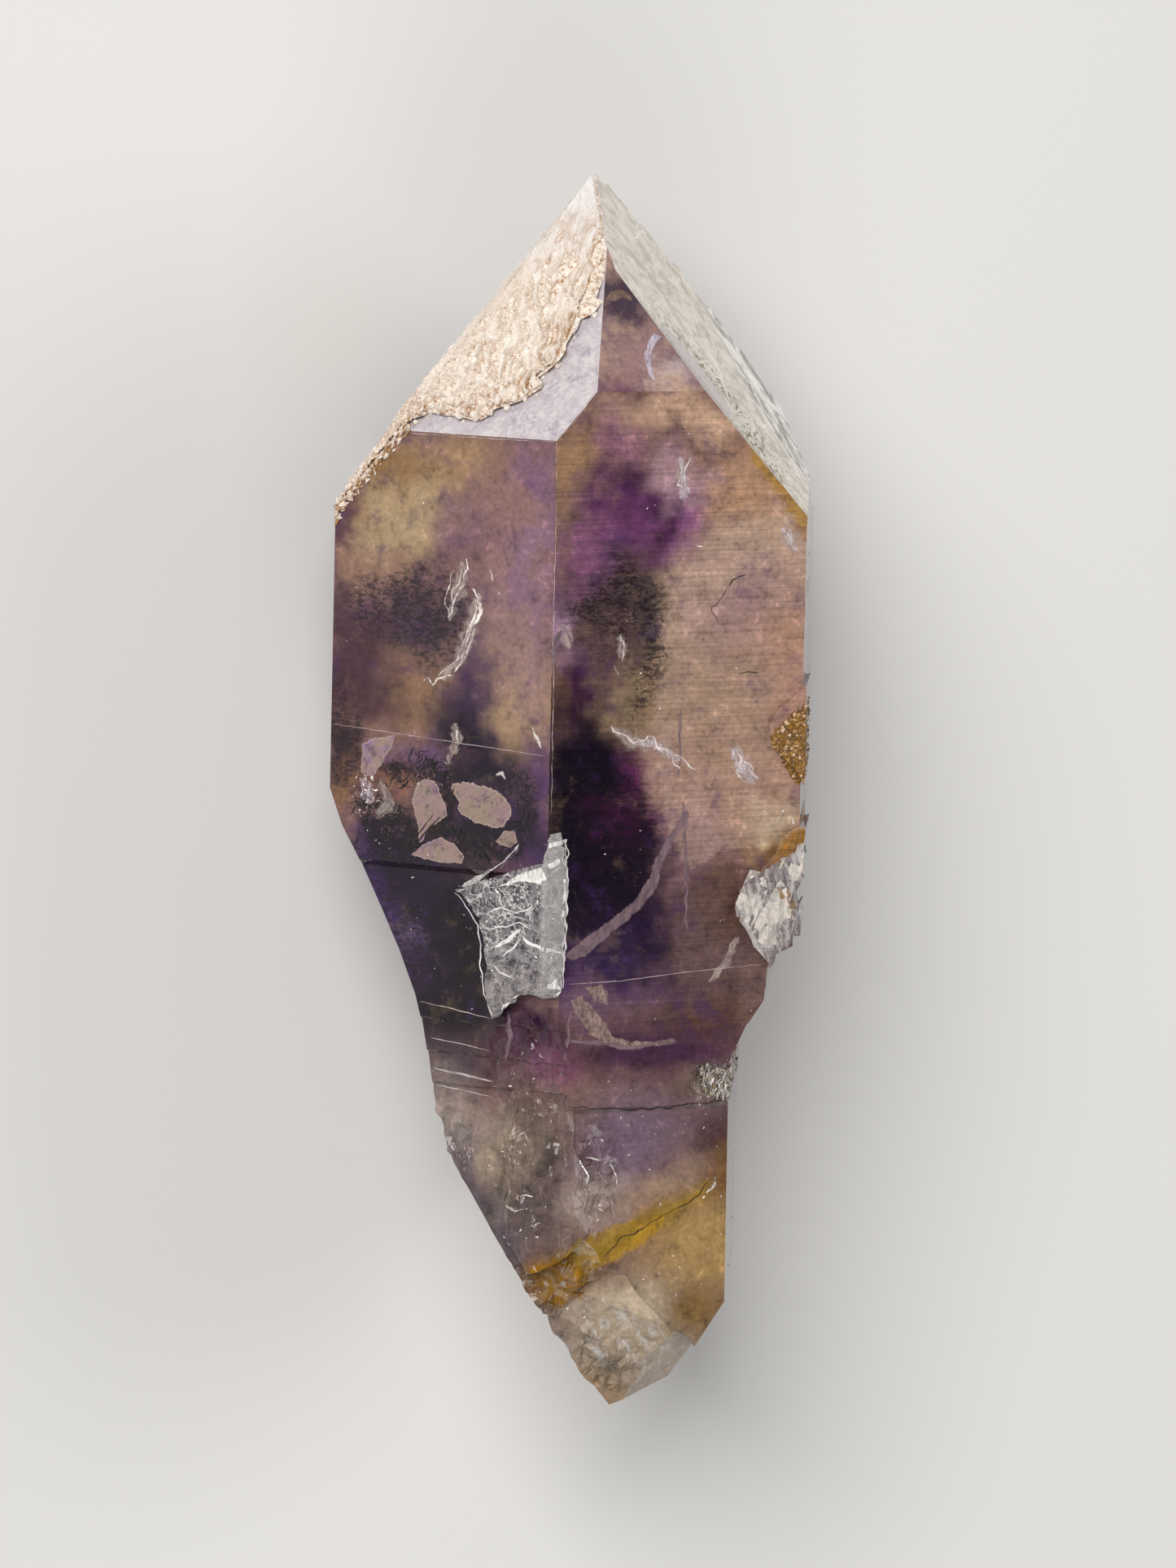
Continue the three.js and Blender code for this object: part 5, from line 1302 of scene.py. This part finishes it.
class CRYSTAL_OT_crust_crystals(bpy.types.Operator):
    """Stands tiny crystals on the druse, beads along its ragged edge and a coarser band down the outer edge"""

    bl_idname = "crystal.crust_crystals"
    bl_label = "Crystals of the crust"

    def execute(self, context):
        sizes, colours = context.scene.crystal_sizes, context.scene.crystal_colours
        material = bpy.data.materials.get("quartz_druse") or druse(colours)
        # Tiny six-sided points standing on it, and rounded beads along its ragged lower edge
        dice = Random(11)
        bm = bmesh.new()
        tall = bm.verts.layers.float.new("height")
        stain = bm.verts.layers.float.new("stain")
        grain = sizes.grain / MM
        wanted, tried = 1500, 0
        while wanted and tried < 40000:
            tried += 1
            x, y = dice.uniform(-15.5, 1.6), dice.uniform(55, 76)
            if not inside((x, y), CRUST):
                continue
            at, normal = met(x, y)
            if at is None or at.dot(UPPER_LEFT[0]) - UPPER_LEFT[1] < 0.06 or normal.dot(UPPER_LEFT[0]) < 0.5:
                continue
            low = max(0.0, min(1.0, (-1.0 - x) / 7))
            if dice.random() > 0.04 + 0.96 * low:
                continue
            size = grain * dice.uniform(0.35, 0.9)
            lean = Vector([dice.gauss(0, 0.35) for _ in range(3)])
            upright = (UPPER_LEFT[0] + lean).normalized()
            turn = upright.to_track_quat("Z", "Y").to_matrix().to_4x4()
            put = Matrix.Translation(lying(at + upright * (size * 0.35))) @ (TURN.to_4x4() @ turn)
            put = put @ Matrix.Rotation(dice.uniform(0, 6), 4, "Z")
            made = bmesh.ops.create_cone(
                bm, cap_ends=False, segments=5, radius1=size * 0.5 * MM, radius2=0,
                depth=size * dice.uniform(0.7, 1.2) * MM, matrix=put,
            )["verts"]
            for vert in made:
                vert[tall] = 0.75
            wanted -= 1
        edge = CRUST[:19]
        bead = sizes.bead / MM
        for (ax, ay), (bx, by) in zip(edge, edge[1:]):
            for _ in range(max(2, int(math.dist((ax, ay), (bx, by)) * 4))):
                t = dice.random()
                x = ax + (bx - ax) * t + dice.gauss(0.0, 0.2)
                y = ay + (by - ay) * t + dice.gauss(0.06, 0.2)
                at, normal = met(x, y)
                if at is None or normal.dot(UPPER_LEFT[0]) < 0.9 or x < -10.4 or x > 0.62:
                    continue
                size = bead * max(0.22, dice.uniform(0.2, 1.0) ** 2.6)
                put = Matrix.Translation(lying(at + UPPER_LEFT[0] * size * 0.3))
                put = put @ Matrix.Diagonal((size * MM, size * dice.uniform(0.8, 1.3) * MM, size * MM, 1))
                made = bmesh.ops.create_icosphere(bm, subdivisions=2 if size > 0.2 else 1, radius=1.0, matrix=put)
                for vert in made["verts"]:
                    knob = noise.noise(vert.co / MM * 3.0)
                    vert.co += (vert.co - lying(at)) * 0.6 * knob
                    vert[tall], vert[stain] = 0.6 + 0.4 * knob, 0.7
        # and a band of coarser ones down the outer edge on the left
        for _ in range(2200):
            x, y = dice.uniform(-16, -9.8), dice.uniform(53.5, 63)
            at, normal = met(x, y)
            if at is None or not inside((x, y), RIM):
                continue
            size = dice.uniform(0.07, 0.19)
            put = Matrix.Translation(lying(at + normal * size * 0.2)) @ TURN.to_4x4()
            put = put @ Matrix.Rotation(dice.gauss(-0.5, 0.4), 4, "Z") @ Matrix.Rotation(dice.gauss(0, 0.4), 4, "X")
            put = put @ Matrix.Diagonal((size * 0.6 * MM, size * dice.uniform(1.0, 1.9) * MM, size * MM, 1))
            shade = dice.uniform(0.1, 1.0)
            for vert in bmesh.ops.create_icosphere(bm, subdivisions=1, radius=1.0, matrix=put)["verts"]:
                vert.co += noise.noise_vector(vert.co / MM * 3) * size * 0.4 * MM
                vert[tall], vert[stain] = shade, 0.9
        finish_piece(bm, "druse_crystals", material)
        return {"FINISHED"}


class CRYSTAL_OT_stage(bpy.types.Operator):
    """Puts the crystal on a pale floor under soft light, seen from the photograph's side"""

    bl_idname = "crystal.stage"
    bl_label = "Floor, light and camera"

    def execute(self, context):
        sizes, colours = context.scene.crystal_sizes, context.scene.crystal_colours
        scene = context.scene
        bm = bmesh.new()
        bmesh.ops.create_grid(bm, x_segments=1, y_segments=1, size=sizes.floor / 2)
        mesh = bpy.data.meshes.new("floor")
        bm.to_mesh(mesh)
        bm.free()
        floor = bpy.data.objects.new("floor", mesh)
        mesh.materials.append(floor_board(colours))
        scene.collection.objects.link(floor)

        world = bpy.data.worlds.new("soft_studio")
        world.use_nodes = True
        world.node_tree.nodes["Background"].inputs[0].default_value = srgb("#EDEDF2")
        world.node_tree.nodes["Background"].inputs[1].default_value = 0.15
        scene.world = world
        scene.view_settings.view_transform = "Standard"

        middle = lying((0, 38, 4))
        for name, way, size, power in (
            ("key", (-0.75, 0.55, 0.95), 0.5, 9.2),
            ("fill", (1.0, 0.15, 0.6), 0.6, 3.5),
            ("low", (-0.2, -1.0, 0.7), 0.5, 2.4),
        ):
            data = bpy.data.lights.new(name, "AREA")
            data.shape, data.size, data.energy = "SQUARE", size, power
            lamp = bpy.data.objects.new(name, data)
            way = Vector(way).normalized()
            lamp.location = middle + way * 0.9
            lamp.rotation_euler = way.to_track_quat("Z", "Y").to_euler()
            scene.collection.objects.link(lamp)

        # The photograph looks six degrees down along the crystal's front, from 0.6 m, leaning 1.3 degrees
        down, lean = math.radians(6), math.radians(1.3)
        towards = Vector((0, math.sin(down), math.cos(down)))
        plain_up = Vector((0, math.cos(down), -math.sin(down)))
        plain_right = Vector((1, 0, 0))
        right = plain_right * math.cos(lean) + plain_up * math.sin(lean)
        up = plain_up * math.cos(lean) - plain_right * math.sin(lean)
        aim = right * 1.725 + up * 37.825 + towards * 9.0
        data = bpy.data.cameras.new("camera")
        data.lens, data.sensor_width, data.clip_start = 36 * 0.6 / 0.09635, 36, 0.01
        camera = bpy.data.objects.new("camera", data)
        turned = Matrix([TURN @ right, TURN @ up, TURN @ towards]).transposed().to_4x4()
        turned.translation = lying(aim + towards * 600)
        camera.matrix_world = turned
        scene.collection.objects.link(camera)
        scene.camera = camera
        return {"FINISHED"}


class CRYSTAL_PT_panel(bpy.types.Panel):
    """The crystal's colours, sizes and pieces"""

    bl_idname = "CRYSTAL_PT_panel"
    bl_label = "Amethyst crystal"
    bl_space_type = "VIEW_3D"
    bl_region_type = "UI"
    bl_category = "Crystal"

    def draw(self, context):
        layout = self.layout
        for group in (context.scene.crystal_sizes, context.scene.crystal_colours):
            box = layout.box()
            for name in type(group).__annotations__:
                box.prop(group, name)
        for operator in OPERATORS:
            layout.operator(operator.bl_idname)


OPERATORS = (
    CRYSTAL_OT_stage, CRYSTAL_OT_body, CRYSTAL_OT_crust, CRYSTAL_OT_crust_crystals, CRYSTAL_OT_cracks, CRYSTAL_OT_flakes,
    CRYSTAL_OT_moss, CRYSTAL_OT_grains, CRYSTAL_OT_glints,
)
CLASSES = (CrystalColours, CrystalSizes, *OPERATORS, CRYSTAL_PT_panel)


def register():
    for cls in CLASSES:
        bpy.utils.register_class(cls)
    bpy.types.Scene.crystal_colours = bpy.props.PointerProperty(type=CrystalColours)
    bpy.types.Scene.crystal_sizes = bpy.props.PointerProperty(type=CrystalSizes)


def unregister():
    del bpy.types.Scene.crystal_sizes
    del bpy.types.Scene.crystal_colours
    for cls in reversed(CLASSES):
        bpy.utils.unregister_class(cls)


def main():
    register()
    bpy.ops.crystal.stage()
    bpy.ops.crystal.body()
    bpy.ops.crystal.crust()
    bpy.ops.crystal.crust_crystals()
    bpy.ops.crystal.cracks()
    bpy.ops.crystal.flakes()
    bpy.ops.crystal.moss()
    bpy.ops.crystal.grains()
    bpy.ops.crystal.glints()


if __name__ == "__main__":
    main()
